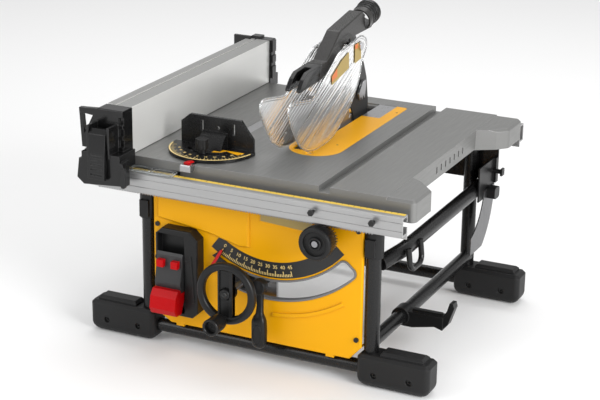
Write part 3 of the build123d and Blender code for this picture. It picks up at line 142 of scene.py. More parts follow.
def make_piece(name, points, faces, finish, body, slot, sharp=35, merge=True):
    """A mesh object at the origin from an array of points and a list of faces. It rides on a body. The slot
    argument, the record's material slot that its finish belongs to, is not used."""
    mesh = bpy.data.meshes.new(name)
    mesh.from_pydata(np.asarray(points).reshape(-1, 3).tolist(), [], [list(map(int, f)) for f in faces])
    if merge:
        work = bmesh.new()
        work.from_mesh(mesh)
        bmesh.ops.remove_doubles(work, verts=work.verts, dist=MERGE_DISTANCE)
        bmesh.ops.recalc_face_normals(work, faces=work.faces)
        work.to_mesh(mesh)
        work.free()
    mesh.shade_smooth()
    mesh.set_sharp_from_angle(angle=math.radians(sharp))
    mesh.materials.append(finish)
    piece = bpy.data.objects.new(name, mesh)
    bpy.context.scene.collection.objects.link(piece)
    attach(piece, body)
    return piece


def gather(parts):
    """Several (points, faces) pairs as one pair."""
    points, faces, start = [], [], 0
    for part_points, part_faces in parts:
        part_points = np.asarray(part_points).reshape(-1, 3)
        points.append(part_points)
        faces += [[int(i) + start for i in f] for f in part_faces]
        start += len(part_points)
    return np.concatenate(points), faces


print("grid helpers ready")

# %% [markdown]
# Three shapes cover nearly everything on the saw. Knobs and rings are turned, rims and ribs are tubes, and
# labels, marks and pointers are plates. Writing them once keeps every later cell down to its measurements.

# %% Shapes: turned pieces and tubes
def basis(axis):
    """Two unit vectors square to an axis and to each other."""
    axis = np.asarray(axis, float) / np.linalg.norm(axis)
    helper = np.array([0, 0, 1.0]) if abs(axis[2]) < 0.9 else np.array([1.0, 0, 0])
    side = np.cross(helper, axis)
    side /= np.linalg.norm(side)
    return side, np.cross(axis, side)


def turned(profile, centre, axis, steps=64, wobble=None):
    """A profile of (radius, distance along the axis) in mm carried round the axis: centre + along * axis
    + radius * (side * cos + up * sin). wobble(angle) multiplies the radius, for flutes and grips."""
    profile = np.asarray(profile, float) * MM
    axis = np.asarray(axis, float) / np.linalg.norm(axis)
    side, up = basis(axis)
    angle = np.linspace(0, 2 * np.pi, steps, endpoint=False)
    ring = np.outer(np.cos(angle), side) + np.outer(np.sin(angle), up)
    radius = profile[:, :1] * (np.ones(steps) if wobble is None else wobble(angle))
    points = centre + profile[:, None, 1:] * axis + radius[..., None] * ring
    return points, grid_faces(len(profile), steps)


def tube(path, radius, normal, steps=16, closed=False, capped=True):
    """A circle carried along a flat path: each point is the path's point + radius * (normal * cos
    + sideways * sin), where sideways is square to the path's direction and to the plane's normal."""
    path = np.asarray(path, float)
    ahead = np.roll(path, -1, 0) - np.roll(path, 1, 0) if closed else np.gradient(path, axis=0)
    ahead /= np.linalg.norm(ahead, axis=1)[:, None]
    normal = np.asarray(normal, float)
    sideways = np.cross(ahead, normal)
    angle = np.linspace(0, 2 * np.pi, steps, endpoint=False)
    radius = np.broadcast_to(np.asarray(radius, float), (len(path),))[:, None, None] * MM
    points = path[:, None] + radius * (np.cos(angle)[None, :, None] * normal
                                       + np.sin(angle)[None, :, None] * sideways[:, None])
    faces = grid_faces(len(path), steps, close_rows=closed).tolist()
    if capped and not closed:
        faces += [list(range(steps)), list(range((len(path) - 1) * steps, len(path) * steps))]
    return points, faces


print("turned pieces and tubes ready")

# %% [markdown]
# Flat things are an outline pushed through a thickness. A block is the plate of a rectangle, and points
# about the tilt axis are given by a radius and an angle, because the panel's scale is drawn round that
# axis.

# %% Shapes: plates, blocks and rounded edges
def plate(outline, depth):
    """An outline of points carried along the depth vector, with its two ends closed."""
    outline = np.asarray(outline, float)
    count = len(outline)
    points = np.concatenate([outline, outline + np.asarray(depth, float)])
    i = np.arange(count)
    sides = np.stack([i, (i + 1) % count, (i + 1) % count + count, i + count], -1).tolist()
    return points, sides + [list(range(count)), list(range(count, 2 * count))]


def superellipse(count, power):
    """Round a rounded square of half size 1: sign(cos) * |cos| ^ (2 / power), and the same with sin."""
    t = np.linspace(0, 2 * np.pi, count, endpoint=False)
    c, s = np.cos(t), np.sin(t)
    return np.sign(c) * np.abs(c) ** (2 / power), np.sign(s) * np.abs(s) ** (2 / power)


def block(x0, x1, y0, y1, z0, z1):
    """A block between two corners in mm from the table's corner."""
    outline = [at(x0, y0, z0), at(x1, y0, z0), at(x1, y1, z0), at(x0, y1, z0)]
    return plate(outline, (0, 0, (z1 - z0) * MM))


def polar(radius, degrees, y):
    """Points at a radius in mm about the tilt axis, an angle to the right of straight down, and y in mm."""
    radius, degrees = np.broadcast_arrays(np.asarray(radius, float), np.asarray(degrees, float))
    a = np.radians(degrees)
    return np.stack([tilt_axis[0] + radius * MM * np.sin(a), np.full(a.shape, at(0, y, 0)[1]),
                     tilt_axis[2] - radius * MM * np.cos(a)], -1)


def soften(piece, width, segments=2):
    """Rounds a piece's sharp edges with a Bevel modifier of a width in mm."""
    modifier = piece.modifiers.new("rounded_edges", "BEVEL")
    modifier.width = width * MM
    modifier.segments = segments
    modifier.limit_method = "ANGLE"
    modifier.angle_limit = math.radians(40)
    return piece


print("shape helpers ready")

# %% [markdown]
# ## Shader groups that every finish shares
# Painted, moulded and bare metal surfaces differ in the same few ways: a slow drift of colour, a fine
# grain, and edges that catch the light, which each finish paints in a lighter edge colour as a painted
# highlight. Each effect is a node group with named sockets, built once. Groups put out only masks, values
# and normals; the shader itself stays in each material.


# %% A small builder for node groups
def new_group(name, inputs, outputs):
    """An empty shader group with float, vector or colour sockets; returns the group and its two ends."""
    group = bpy.data.node_groups.new(name, "ShaderNodeTree")
    for socket, kind, value in inputs:
        made = group.interface.new_socket(name=socket, in_out="INPUT", socket_type="NodeSocket" + kind)
        if value is not None:
            made.default_value = value
    for socket, kind in outputs:
        group.interface.new_socket(name=socket, in_out="OUTPUT", socket_type="NodeSocket" + kind)
    return group, group.nodes.new("NodeGroupInput"), group.nodes.new("NodeGroupOutput")


def add_node(tree, kind, inputs, **settings):
    """A shader node: its settings first, then each input set to a plain value or linked to another socket."""
    node = tree.nodes.new("ShaderNode" + kind)
    for key, value in settings.items():
        setattr(node, key, value)
    for socket, value in inputs.items():
        if isinstance(value, bpy.types.NodeSocket):
            tree.links.new(value, node.inputs[socket])
        else:
            node.inputs[socket].default_value = value
    return node


def math_node(tree, operation, *values):
    """A Math node's result; the values are sockets or numbers."""
    return add_node(tree, "Math", dict(enumerate(values)), operation=operation).outputs[0]


def dot_product(tree, a, b):
    """The dot product of two vectors, each a socket or three numbers."""
    return add_node(tree, "VectorMath", {0: a, 1: b}, operation="DOT_PRODUCT").outputs["Value"]


def lay_over(tree, under, colour, amount, blend="MIX"):
    """A Mix node that lays a colour over another by an amount, a socket from 0 to 1."""
    inputs = {"Factor": amount, "A": under, "B": (*colour, 1)}
    return add_node(tree, "Mix", inputs, data_type="RGBA", blend_type=blend).outputs["Result"]


def start_material(name):
    """A new material, its node tree and its Principled shader."""
    material = bpy.data.materials.new(name)
    material.use_nodes = True
    return material, material.node_tree, material.node_tree.nodes["Principled BSDF"]


print("group builder ready")

# %% [markdown]
# The first group gives the fine grain and the slow drift. The second finds edges: a Bevel node rounds the
# normal near an edge, and where the rounded normal leans away from the face's own there is an edge.

# %% Grain, drift and edge groups
def build_grain_group():
    """Drift: soft noise a hand wide. Grain: fine noise whose coordinates can be stretched along one
    direction."""
    group, start, end = new_group(
        "surface_grain",
        [("Vector", "Vector", None), ("Stretch", "Vector", (1, 1, 1)), ("Grain Scale", "Float", 900.0),
         ("Drift Scale", "Float", 9.0)],
        [("Grain", "Float"), ("Drift", "Float")])
    vector = start.outputs["Vector"]
    stretched = add_node(group, "VectorMath", {0: vector, 1: start.outputs["Stretch"]}, operation="MULTIPLY")
    for name, source, scale, detail in (("Grain", stretched.outputs[0], "Grain Scale", 3),
                                        ("Drift", vector, "Drift Scale", 2)):
        inputs = {"Vector": source, "Scale": start.outputs[scale], "Detail": detail}
        noise = add_node(group, "TexNoise", inputs)
        group.links.new(noise.outputs["Fac"], end.inputs[name])
    return group


def build_edge_group():
    """Edge: how far a rounded normal leans away from the face's own, which is large only beside an edge.
    Normal: the rounded normal, so that a sharp CAD edge catches the light as a moulded one does."""
    group, start, end = new_group("soft_edges", [("Radius", "Float", 0.001), ("Gain", "Float", 3.0)],
                                  [("Edge", "Float"), ("Normal", "Vector")])
    rounded = add_node(group, "Bevel", {"Radius": start.outputs["Radius"]}, samples=4)
    own = add_node(group, "NewGeometry", {})
    lean = math_node(group, "SUBTRACT", 1.0, dot_product(group, rounded.outputs[0], own.outputs["Normal"]))
    gained = math_node(group, "MULTIPLY", lean, start.outputs["Gain"])
    clamped = math_node(group, "MINIMUM", gained, 1.0)
    group.links.new(clamped, end.inputs["Edge"])
    group.links.new(rounded.outputs[0], end.inputs["Normal"])
    return group


GRAIN = build_grain_group()
EDGES = build_edge_group()
print("groups:", GRAIN.name, EDGES.name)

# %% [markdown]
# ## Finishes
# One function makes a finish from its colour, how much the colour drifts, its gloss, its grain and its
# edges, which get a lighter colour as a painted highlight. A dark moulding needs a fine pebble that shows
# only in the highlights; bare metal needs long streaks in the direction it was rolled or brushed; paint
# needs almost no grain but a soft drift and a clear painted edge highlight.


# %% The finish builder
GRAIN_DEPTH = 0.4 * MM


def finish(name, colour, drift=0.10, rough=(0.35, 0.5), metallic=0.0, grain=900.0, stretch=(1, 1, 1),
           bump=0.15, edge_highlight_colour=None, edge=0.0, edge_radius=0.9, coat=0.0, gloss=0.5):
    """A Principled material: colour drifts between two tones, grain drives roughness and bump, and a share of
    the edge colour, three numbers or one grey level, is laid on where the edge mask is high as a painted
    highlight. edge_radius is in mm; gloss is the specular level."""
    material, tree, shader = start_material(name)
    for socket, value in (("Metallic", metallic), ("Coat Weight", coat), ("Coat Roughness", 0.2),
                          ("Specular IOR Level", gloss)):
        shader.inputs[socket].default_value = value
    place = add_node(tree, "TexCoord", {}).outputs["Object"]
    surface = add_node(tree, "Group", {"Vector": place, "Stretch": stretch, "Grain Scale": grain},
                       node_tree=GRAIN)
    edges = add_node(tree, "Group", {"Radius": edge_radius * MM}, node_tree=EDGES)
    dark = (*[c * (1 - drift) for c in colour], 1)
    light = [min(1, c * (1 + drift)) for c in colour]
    colour_out = lay_over(tree, dark, light, surface.outputs["Drift"])
    # painted highlight: the lighter edge colour is laid over the colour near every edge
    if edge:
        amount = math_node(tree, "MULTIPLY", edges.outputs["Edge"], edge)
        colour_out = lay_over(tree, colour_out, np.broadcast_to(edge_highlight_colour, 3).tolist(), amount)
    grain_out = surface.outputs["Grain"]
    spread = add_node(tree, "MapRange", {"Value": grain_out, "From Min": 0.3, "From Max": 0.7,
                                         "To Min": rough[0], "To Max": rough[1]})
    relief = add_node(tree, "Bump", {"Strength": bump, "Distance": GRAIN_DEPTH, "Height": grain_out,
                                     "Normal": edges.outputs["Normal"]})
    tree.links.new(colour_out, shader.inputs["Base Color"])
    tree.links.new(spread.outputs["Result"], shader.inputs["Roughness"])
    tree.links.new(relief.outputs["Normal"], shader.inputs["Normal"])
    return material


print("finish builder ready")

# %% [markdown]
# The panel and throat plate are the same deep yellow, moulded in one and painted in the other. The blacks
# differ in gloss: the fence heads shine, the tubes are satin, the feet are dull. Their specular level is
# kept low, since a black plastic with full gloss would turn grey under a wide pale surround.

# %% Paints and mouldings
YELLOW = (0.80, 0.375, 0.001)
BLACK = (0.0065, 0.0065, 0.0067)
# each edge colour below is a lighter tone laid near the edges as a painted highlight
yellow_moulding = finish("yellow_moulding", YELLOW, 0.05, (0.30, 0.40), grain=700, bump=0.05, coat=0.0,
                         edge_highlight_colour=(0.95, 0.60, 0.06), edge=0.35, edge_radius=1.6, gloss=0.18)
yellow_paint = finish("yellow_paint", YELLOW, 0.04, (0.34, 0.44), grain=500, bump=0.05,
                      edge_highlight_colour=(0.95, 0.55, 0.08), edge=0.3, edge_radius=0.7, gloss=0.3)
black_moulding = finish("black_moulding", BLACK, 0.25, (0.30, 0.46), grain=1400, bump=0.20, edge_highlight_colour=0.05,
                        edge=0.5, edge_radius=1.2, gloss=0.3)
black_gloss = finish("black_gloss", BLACK, 0.2, (0.13, 0.24), grain=500, bump=0.05, edge_highlight_colour=0.07,
                     edge=0.6, edge_radius=1.4, gloss=0.4)
black_rubbery = finish("black_rubbery", (0.010, 0.010, 0.0103), 0.2, (0.38, 0.56), grain=1100, bump=0.25,
                       edge_highlight_colour=0.05, edge=0.4, edge_radius=1.6, gloss=0.3)
black_paint = finish("black_paint", BLACK, 0.25, (0.22, 0.34), grain=600, bump=0.10, edge_highlight_colour=0.04,
                     edge=0.4, gloss=0.35)
grey_moulding = finish("grey_moulding", (0.15, 0.15, 0.155), 0.08, (0.35, 0.5), grain=1200, bump=0.12,
                       edge_highlight_colour=0.35, edge=0.4)
dark_grey_moulding = finish("dark_grey_moulding", (0.03, 0.03, 0.031), 0.12, (0.32, 0.46), grain=1200,
                            bump=0.15, edge_highlight_colour=0.12, edge=0.5, gloss=0.4)
arm_moulding = finish("arm_moulding", (0.022, 0.021, 0.020), 0.15, (0.22, 0.36), grain=1300, bump=0.12,
                      edge_highlight_colour=0.16, edge=0.5, edge_radius=1.4, gloss=0.45)
red_moulding = finish("red_moulding", (0.44, 0.001, 0.003), 0.08, (0.24, 0.36), grain=900, bump=0.06,
                      edge_highlight_colour=(0.7, 0.03, 0.03), edge=0.4, gloss=0.15)
print("paints and mouldings mixed")

# %% [markdown]
# The table is a coated casting, so it is only half metallic, with faint streaks from front to rear where it
# was ground. The rails and the fence are bare extrusions with long streaks down their length. Knife and
# blade steel are darker and more mirror-like.

# %% Metals
# each edge colour below is a lighter tone laid near the edges as a painted highlight
table_coat = finish("table_coat", (0.205, 0.205, 0.20), 0.05, (0.34, 0.46), metallic=0.5, grain=420,
                    stretch=(1, 0.06, 1), bump=0.05, edge_highlight_colour=0.5, edge=0.6, edge_radius=0.9)
rail_metal = finish("rail_metal", (0.40, 0.40, 0.40), 0.05, (0.30, 0.42), metallic=0.75, grain=700,
                    stretch=(0.02, 1, 1), bump=0.06, edge_highlight_colour=0.7, edge=0.6, edge_radius=0.5)
fence_metal = finish("fence_metal", (0.80, 0.80, 0.78), 0.04, (0.34, 0.44), metallic=0.5, grain=700,
                     stretch=(1, 0.02, 1), bump=0.05, edge_highlight_colour=0.75, edge=0.5, edge_radius=0.6)
steel = finish("steel", (0.42, 0.42, 0.43), 0.08, (0.26, 0.42), metallic=1.0, grain=900, stretch=(1, 0.1, 1),
               bump=0.06, edge_highlight_colour=0.7, edge=0.4, edge_radius=0.4)
knife_steel = finish("knife_steel", (0.16, 0.16, 0.165), 0.12, (0.25, 0.4), metallic=0.9, grain=800,
                     stretch=(1, 1, 0.08), bump=0.06, edge_highlight_colour=0.5, edge=0.5, edge_radius=0.4)
black_steel = finish("black_steel", (0.016, 0.016, 0.016), 0.3, (0.3, 0.46), metallic=0.4, grain=800,
                     bump=0.1, edge_highlight_colour=0.14, edge=0.5, edge_radius=0.5)
gear_steel = finish("gear_steel", (0.30, 0.30, 0.31), 0.12, (0.28, 0.45), metallic=1.0, grain=1000, bump=0.10,
                    edge_highlight_colour=0.6, edge=0.5, edge_radius=0.4)
cast_metal = finish("cast_metal", (0.40, 0.40, 0.41), 0.1, (0.42, 0.58), metallic=0.9, grain=500, bump=0.25,
                    edge_highlight_colour=0.6, edge=0.4)
plated = finish("plated", (0.62, 0.62, 0.63), 0.04, (0.14, 0.22), metallic=1.0, grain=600, bump=0.03)
brass = finish("brass", (0.62, 0.42, 0.16), 0.08, (0.22, 0.36), metallic=1.0, grain=800, bump=0.05)
print("metals mixed")

# %% [markdown]
# Under these lamps the fence's top would come out brighter than its side face, so the top is given painted
# shade here by choice: its colour is darkened. The two are told apart by the upward part of the surface's
# own normal, taken in the object's space so that it turns with the piece.


# %% Painted shade on the fence's top
def base_colour(material):
    """A finish's tree, its Base Color socket and the socket that feeds it."""
    colour_in = material.node_tree.nodes["Principled BSDF"].inputs["Base Color"]
    return material.node_tree, colour_in, colour_in.links[0].from_socket


def dull_upward(material, share):
    """Painted shade: multiplies the colour by share where the object-space normal points up or down."""
    tree, colour_in, under = base_colour(material)
    parts = add_node(tree, "SeparateXYZ", {0: add_node(tree, "TexCoord", {}).outputs["Normal"]})
    upward = math_node(tree, "ABSOLUTE", parts.outputs["Z"])
    tree.links.new(lay_over(tree, under, (share, share, share), upward, "MULTIPLY"), colour_in)


# painted shade: the fence's top and bottom faces keep 0.40 of their colour
dull_upward(fence_metal, 0.40)
print("fence top dulled")

# %% [markdown]
# Scales and labels are printed. An ink is thin and even, so it only needs a faint grain and almost no edge.

# %% Printed inks
ink_black = finish("ink_black", (0.010, 0.010, 0.010), 0.1, (0.38, 0.48), grain=700, bump=0.03,
                   edge_radius=0.2)
ink_cream = finish("ink_cream", (0.78, 0.58, 0.22), 0.05, (0.4, 0.5), grain=700, bump=0.02, edge_radius=0.1)
ink_rule = finish("ink_rule", (0.74, 0.50, 0.06), 0.08, (0.35, 0.45), grain=700, bump=0.03, edge_radius=0.1)
ink_ochre = finish("ink_ochre", (0.36, 0.26, 0.075), 0.15, (0.4, 0.5), grain=1500, bump=0.05, edge_radius=0.1)
ink_orange = finish("ink_orange", (0.60, 0.16, 0.04), 0.08, (0.4, 0.5), grain=900, bump=0.03, edge_radius=0.1)
print(len(bpy.data.materials), "materials")


# %% [markdown]
# Clear polycarbonate is a full-transmission shader with a little tint and a slight unevenness, because
# moulded guards are never optically flat. The ribs and rims of the real guards do most of the work: they
# bend the light into the bright streaks that make the guard readable.

# %% Clear mouldings
RIPPLE_SCALE = 55
RIPPLE_DEPTH, RIB_DEPTH = 2.0 * MM, 1.2 * MM
POLYCARBONATE_IOR = 1.49


def clear(name, tint, rough, wave, ribs=0.0):
    """A clear moulding: plain transmission, a soft noise bump for the moulded ripple, and slanting ribs whose
    height is |sin(RIB_RATE * distance across them)|, the distance being y * 0.428 - z * 0.904."""
    material, tree, shader = start_material(name)
    for socket, value in (("Base Color", (*tint, 1)), ("Transmission Weight", 1.0), ("Roughness", rough),
                          ("IOR", POLYCARBONATE_IOR)):
        shader.inputs[socket].default_value = value
    place = add_node(tree, "TexCoord", {}).outputs["Object"]
    ripple = add_node(tree, "TexNoise", {"Vector": place, "Scale": RIPPLE_SCALE})
    relief = add_node(tree, "Bump", {"Strength": wave, "Distance": RIPPLE_DEPTH,
                                     "Height": ripple.outputs["Fac"]})
    if ribs:
        phase = math_node(tree, "MULTIPLY", dot_product(tree, place, (0, 0.428, -0.904)), RIB_RATE)
        ridge = math_node(tree, "ABSOLUTE", math_node(tree, "SINE", phase))
        relief = add_node(tree, "Bump", {"Strength": ribs, "Distance": RIB_DEPTH, "Height": ridge,
                                         "Normal": relief.outputs["Normal"]})
    tree.links.new(relief.outputs["Normal"], shader.inputs["Normal"])
    return material


RIB_RATE = math.pi / (7.0 * MM)     # one ridge every 7 mm
clear_guard = clear("clear_guard", (0.96, 0.97, 0.97), 0.01, 0.02, ribs=0.25)
clear_window = clear("clear_window", (0.93, 0.95, 0.95), 0.02, 0.05)
print("clear mouldings ready")

# %% [markdown]
# The bevel pointer is one moulding with its bush: only the needle is painted red. The paint is a mask on
# the distance from the line that runs from the tilt axis to the scale's zero, so it needs no extra piece.

# %% Pointer finish
SCALE_ZERO = -30.7          # degrees from straight down of the scale's zero
NEEDLE_HALF = 2.4 * MM


def paint_needle(material, colour):
    """Mixes a colour over the finish where |sideways distance from the zero line| is less than
    NEEDLE_HALF."""
    tree, colour_in, under = base_colour(material)
    angle = math.radians(SCALE_ZERO)
    sideways = np.array([math.cos(angle), 0, math.sin(angle)])
    across = dot_product(tree, add_node(tree, "TexCoord", {}).outputs["Object"], sideways.tolist())
    offset = math_node(tree, "SUBTRACT", across, float(tilt_axis @ sideways))
    inside = math_node(tree, "LESS_THAN", math_node(tree, "ABSOLUTE", offset), NEEDLE_HALF)
    tree.links.new(lay_over(tree, under, colour, inside), colour_in)
    return material


pointer_finish = paint_needle(
    finish("pointer_finish", BLACK, 0.2, (0.3, 0.45), grain=1200, bump=0.1, edge_radius=0.6, gloss=0.3),
    (0.50, 0.003, 0.005))
print("needle painted", round(2 * NEEDLE_HALF / MM, 1), "mm wide")

# %% [markdown]
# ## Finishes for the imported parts
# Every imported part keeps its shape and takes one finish. The table lists them by finish, so that one line
# changes all the parts moulded or painted together.

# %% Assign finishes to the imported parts
FINISH_OF = {
    table_coat: ["table_top"],
    yellow_paint: ["throat_plate"],
    yellow_moulding: ["front_panel"],
    steel: ["throat_rear_plate", "mitre_bar", "bevel_carriage", "arbor_shaft", "arbor_hardware", "saw_blade",
            "kickback_pawls"],
    plated: ["guide_posts", "guard_pin"],
    black_steel: ["small_screws", "rail_pins", "riving_knife"],
    black_paint: ["tube_frame", "carry_handle", "rear_panel", "mitre_head", "motor_housing"],
    black_rubbery: ["feet"],
    black_moulding: ["leg_sleeves", "switch_box", "storage_bracket", "tool_hook", "rack_knob", "mitre_knob",
                     "lock_lever", "height_wheel", "crank_knob", "blade_shroud"],
    black_gloss: ["fence_front_head", "fence_rear_head", "fence_latch", "rear_latch", "arm_nose"],
    arm_moulding: ["guard_arm"],
    dark_grey_moulding: ["switch_paddle"],
    grey_moulding: ["slot_trim"],
    red_moulding: ["stop_plate"],
    pointer_finish: ["bevel_pointer"],
    knife_steel: ["stored_knife"],
    rail_metal: ["front_rail", "rear_rail"],
    fence_metal: ["fence_body", "fence_support"],
    gear_steel: ["racks", "rack_shaft", "wheel_shaft", "height_screw", "drive_gear", "motor_rotor"],
    cast_metal: ["trunnions", "rail_mounts", "slide_frame", "gearcase"],
    brass: ["guard_bush"],
    clear_guard: ["left_guard", "right_guard"],
    clear_window: ["scale_cursor"],
}


def dress(node, material):
    """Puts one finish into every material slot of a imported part."""
    mesh = nodes[node].data
    mesh.materials.clear()
    mesh.materials.append(material)


for material, names in FINISH_OF.items():
    for node in names:
        dress(node, material)
undressed = set(nodes) - {n for names in FINISH_OF.values() for n in names}
print("parts without a finish:", sorted(undressed))

# %% [markdown]
# ## The bevel scale
# The black scale is printed on the panel round the tilt axis, so its marks are points at a radius and an
# angle. A pointer on the tilting carriage passes below it. Each mark is a thin plate; long ones stand at
# every five degrees. The figures are Blender text made into a mesh and turned to stand square to the
# radius.

# %% Scale plate and marks
SCALE_DEGREES = 45
PANEL_FACE = 10.0           # mm behind the table's front edge


def arc_band(point, r0, r1, a0, a1, level, depth, steps):
    """A band between two radii: its outline runs out along one radius and back on the other. The points are
    point(radius, degrees, level) and depth is its thickness as a vector."""
    sweep = np.linspace(a0, a1, steps)
    return plate(np.concatenate([point(r1, sweep, level), point(r0, sweep[::-1], level)]), depth)


def radial_marks(point, values, zero, step, inner, outer, half, level, depth):
    """A thin plate at zero + each value, in degrees. inner holds two radii, the first for each value that
    step divides; half is half a mark's width in degrees."""
    parts = []
    for value in values:
        a, start = zero + value, inner[0] if value % step == 0 else inner[1]
        corners = [(start, a - half), (outer, a - half), (outer, a + half), (start, a + half)]
        parts.append(plate([point(radius, turn, level) for radius, turn in corners], depth))
    return gather(parts)


scale_plate = arc_band(polar, 142, 168, SCALE_ZERO - 6.3, SCALE_ZERO + SCALE_DEGREES + 35.7, PANEL_FACE - 0.6,
                       (0, 0.8 * MM, 0), 60)
scale_marks = radial_marks(polar, range(SCALE_DEGREES + 1), SCALE_ZERO, 5, (156.5, 161.0), 165.5, 0.20,
                           PANEL_FACE - 0.9, (0, 0.4 * MM, 0))
make_piece("bevel_scale_plate", *scale_plate, ink_black, "stand", "black_plastic")
make_piece("bevel_scale_marks", *scale_marks, ink_cream, "stand", "black_plastic")
print("scale plate and", SCALE_DEGREES + 1, "marks")

# %% [markdown]
# A figure is Blender text turned into a mesh at once, so that its place can be worked out on its points
# like any other piece's.


# %% Figures
def figure(text, size, centre, right, up, out, thickness=0.25):
    """Text as points and faces: the glyphs lie in the plane of right and up, centred on a point."""
    curve = bpy.data.curves.new("figure", "FONT")
    curve.body = text
    curve.align_x, curve.align_y = "CENTER", "CENTER"
    curve.size = size * MM
    curve.extrude = thickness * MM / 2
    curve.resolution_u = 3
    holder = bpy.data.objects.new("figure", curve)
    mesh = bpy.data.meshes.new_from_object(holder)
    flat = np.zeros(len(mesh.vertices) * 3)
    mesh.vertices.foreach_get("co", flat)
    flat = flat.reshape(-1, 3)
    points = centre + flat[:, :1] * right + flat[:, 1:2] * up + flat[:, 2:] * out
    faces = [list(p.vertices) for p in mesh.polygons]
    bpy.data.objects.remove(holder)
    bpy.data.curves.remove(curve)
    bpy.data.meshes.remove(mesh)
    return points, faces


def scale_figures():
    """The figures 0 to 45 in steps of five, each with its foot towards the marks."""
    parts = []
    for value in range(0, SCALE_DEGREES + 1, 5):
        a = math.radians(SCALE_ZERO + value)
        right = np.array([math.cos(a), 0, math.sin(a)])
        up = np.array([-math.sin(a), 0, math.cos(a)])
        centre = polar(150.0, SCALE_ZERO + value, PANEL_FACE - 0.85)
        parts.append(figure(str(value), 8.5, centre, right, up, np.array([0, -1.0, 0])))
    return gather(parts)


make_piece("bevel_scale_figures", *scale_figures(), ink_cream, "stand", "black_plastic", merge=False)
print("bevel scale from", SCALE_ZERO, "to", SCALE_ZERO + SCALE_DEGREES, "degrees")

# %% [markdown]
# Right of the badge the panel has a shallow raised field for a printed label. Its wording is left out, so
# the field is a plain ochre sheet, a little smaller than the field it is stuck to.

# %% Panel label
label_sheet = [at(x, PANEL_FACE - 2.0, z) for x, z in ((-214, -42), (-126, -42), (-126, -81), (-214, -76))]
make_piece("panel_label", *plate(label_sheet, (0, -0.25 * MM, 0)), ink_ochre, "stand", "yellow_moulding")
print("panel label left blank")

# %% [markdown]
# ## The rule on the front rail
# A thin yellow tape lies along the rear edge of the front rail's top face. Its marks are thin cross plates
# ten millimetres apart, every fifth one longer. It rides with the rails, because it is stuck to them.

# %% Rail rule
RAIL_LEFT, RAIL_RIGHT, RAIL_TOP = -512.0, 39.0, -17.6


def rule_marks():
    """Thin plates across the tape every 10 mm, longer at every fifth."""
    parts = []
    for i, x in enumerate(np.arange(RAIL_LEFT + 66, RAIL_RIGHT - 5, 10)):
        reach = 5.0 if i % 5 == 0 else 2.6
        parts.append(block(x - 0.35, x + 0.35, -12.4 - reach, -12.4, RAIL_TOP + 0.28, RAIL_TOP + 0.45))
    return gather(parts)


rule_tape = block(RAIL_LEFT + 60, RAIL_RIGHT - 2, -19.5, -12.1, RAIL_TOP, RAIL_TOP + 0.3)
make_piece("rail_rule", *rule_tape, ink_rule, "rails", "yellow_paint")
make_piece("rail_rule_marks", *rule_marks(), ink_black, "rails", "black_plastic")
print("rail rule", RAIL_RIGHT - RAIL_LEFT - 62, "mm long")

# %% [markdown]
# The rule is read through a clear window that stands still while the rail slides under it. The window's
# thick moulded edge catches the light as a pale line round it and round two pockets in it, so those lines
# are slim tubes on its top face, in a pale glossy colour that is a painted highlight.

# %% Cursor edges with painted highlights
# painted highlight: a pale colour standing for the light that the window's edges catch
painted_edge_glint = finish("painted_edge_glint", (0.72, 0.74, 0.75), 0.05, (0.08, 0.16), grain=600, bump=0.03, edge_radius=0.2)
CURSOR_TOP = -15.3
CURSOR_WINDOW = (-431.5, -353.5, -27.5, -1.6)
CURSOR_POCKETS = [(-427, -396, -24, -6), (-391, -358, -24, -6)]


def rounded_loop(x0, x1, y0, y1):
    """A superellipse of power 6 in a level plane: middle + half size * the superellipse, in mm."""
    across, along = superellipse(72, 6.0)
    x = (x0 + x1) / 2 + (x1 - x0) / 2 * across
    y = (y0 + y1) / 2 + (y1 - y0) / 2 * along
    return corner + np.stack([x, y, np.full(x.shape, CURSOR_TOP)], -1) * MM


cursor_loops = [rounded_loop(*bounds) for bounds in [CURSOR_WINDOW, *CURSOR_POCKETS]]
cursor_edge_glints = gather([tube(loop, 0.6, (0, 0, 1), steps=8, closed=True) for loop in cursor_loops])
make_piece("cursor_edge_glints", *cursor_edge_glints, painted_edge_glint, "stand", "clear_window", merge=False)
print("cursor edges", len(cursor_loops))

# %% [markdown]
# ## The clear guards
# Each guard is a flat panel with a double rounded rim and a row of slanting ribs. The panel is an outline
# carried through 1.2 mm, and the rims are circles carried round the outline and round one a little inside
# it. The outline is rounded by averaging neighbouring points a few times, which keeps it closed and smooth.

# %% Guard outline
GUARD_OUTLINE = np.array([
    (318, 155), (340, 146), (343, 130), (324, 112), (316, 82), (284, 47), (248, 27), (218, 11),
    (190, 5.5), (150, 5), (116, 10), (84, 29), (57, 66), (44, 94), (47, 102), (60, 104), (136, 90),
    (200, 126), (232, 145), (290, 151)], float)     # y and z in mm


def even_outline(corners, count, rounds):
    """Points at equal steps along a closed outline, each then averaged with its neighbours several times."""
    loop = np.vstack([corners, corners[:1]])
    length = np.concatenate([[0], np.cumsum(np.linalg.norm(np.diff(loop, axis=0), axis=1))])
    steps = np.linspace(0, length[-1], count, endpoint=False)
    points = np.stack([np.interp(steps, length, loop[:, k]) for k in range(2)], -1)
    for _ in range(rounds):
        points = (np.roll(points, 1, 0) + 2 * points + np.roll(points, -1, 0)) / 4
    return points


def inward(outline, distance):
    """An outline moved in by a distance in mm: point + distance * the left-hand normal of its direction."""
    ahead = np.roll(outline, -1, 0) - np.roll(outline, 1, 0)
    ahead /= np.linalg.norm(ahead, axis=1)[:, None]
    normal = np.stack([-ahead[:, 1], ahead[:, 0]], -1)
    centre = outline.mean(0)
    sign = np.sign(((centre - outline) * normal).sum(1).mean())
    return outline + sign * distance * normal


print("guard outline of", len(GUARD_OUTLINE), "corners")

# %% [markdown]
# Moulded ribs stiffen a thin clear panel. They run side by side up and to the rear, so each one is a
# straight slim tube with its own start on the lower edge; the shader's fine relief runs the same way.

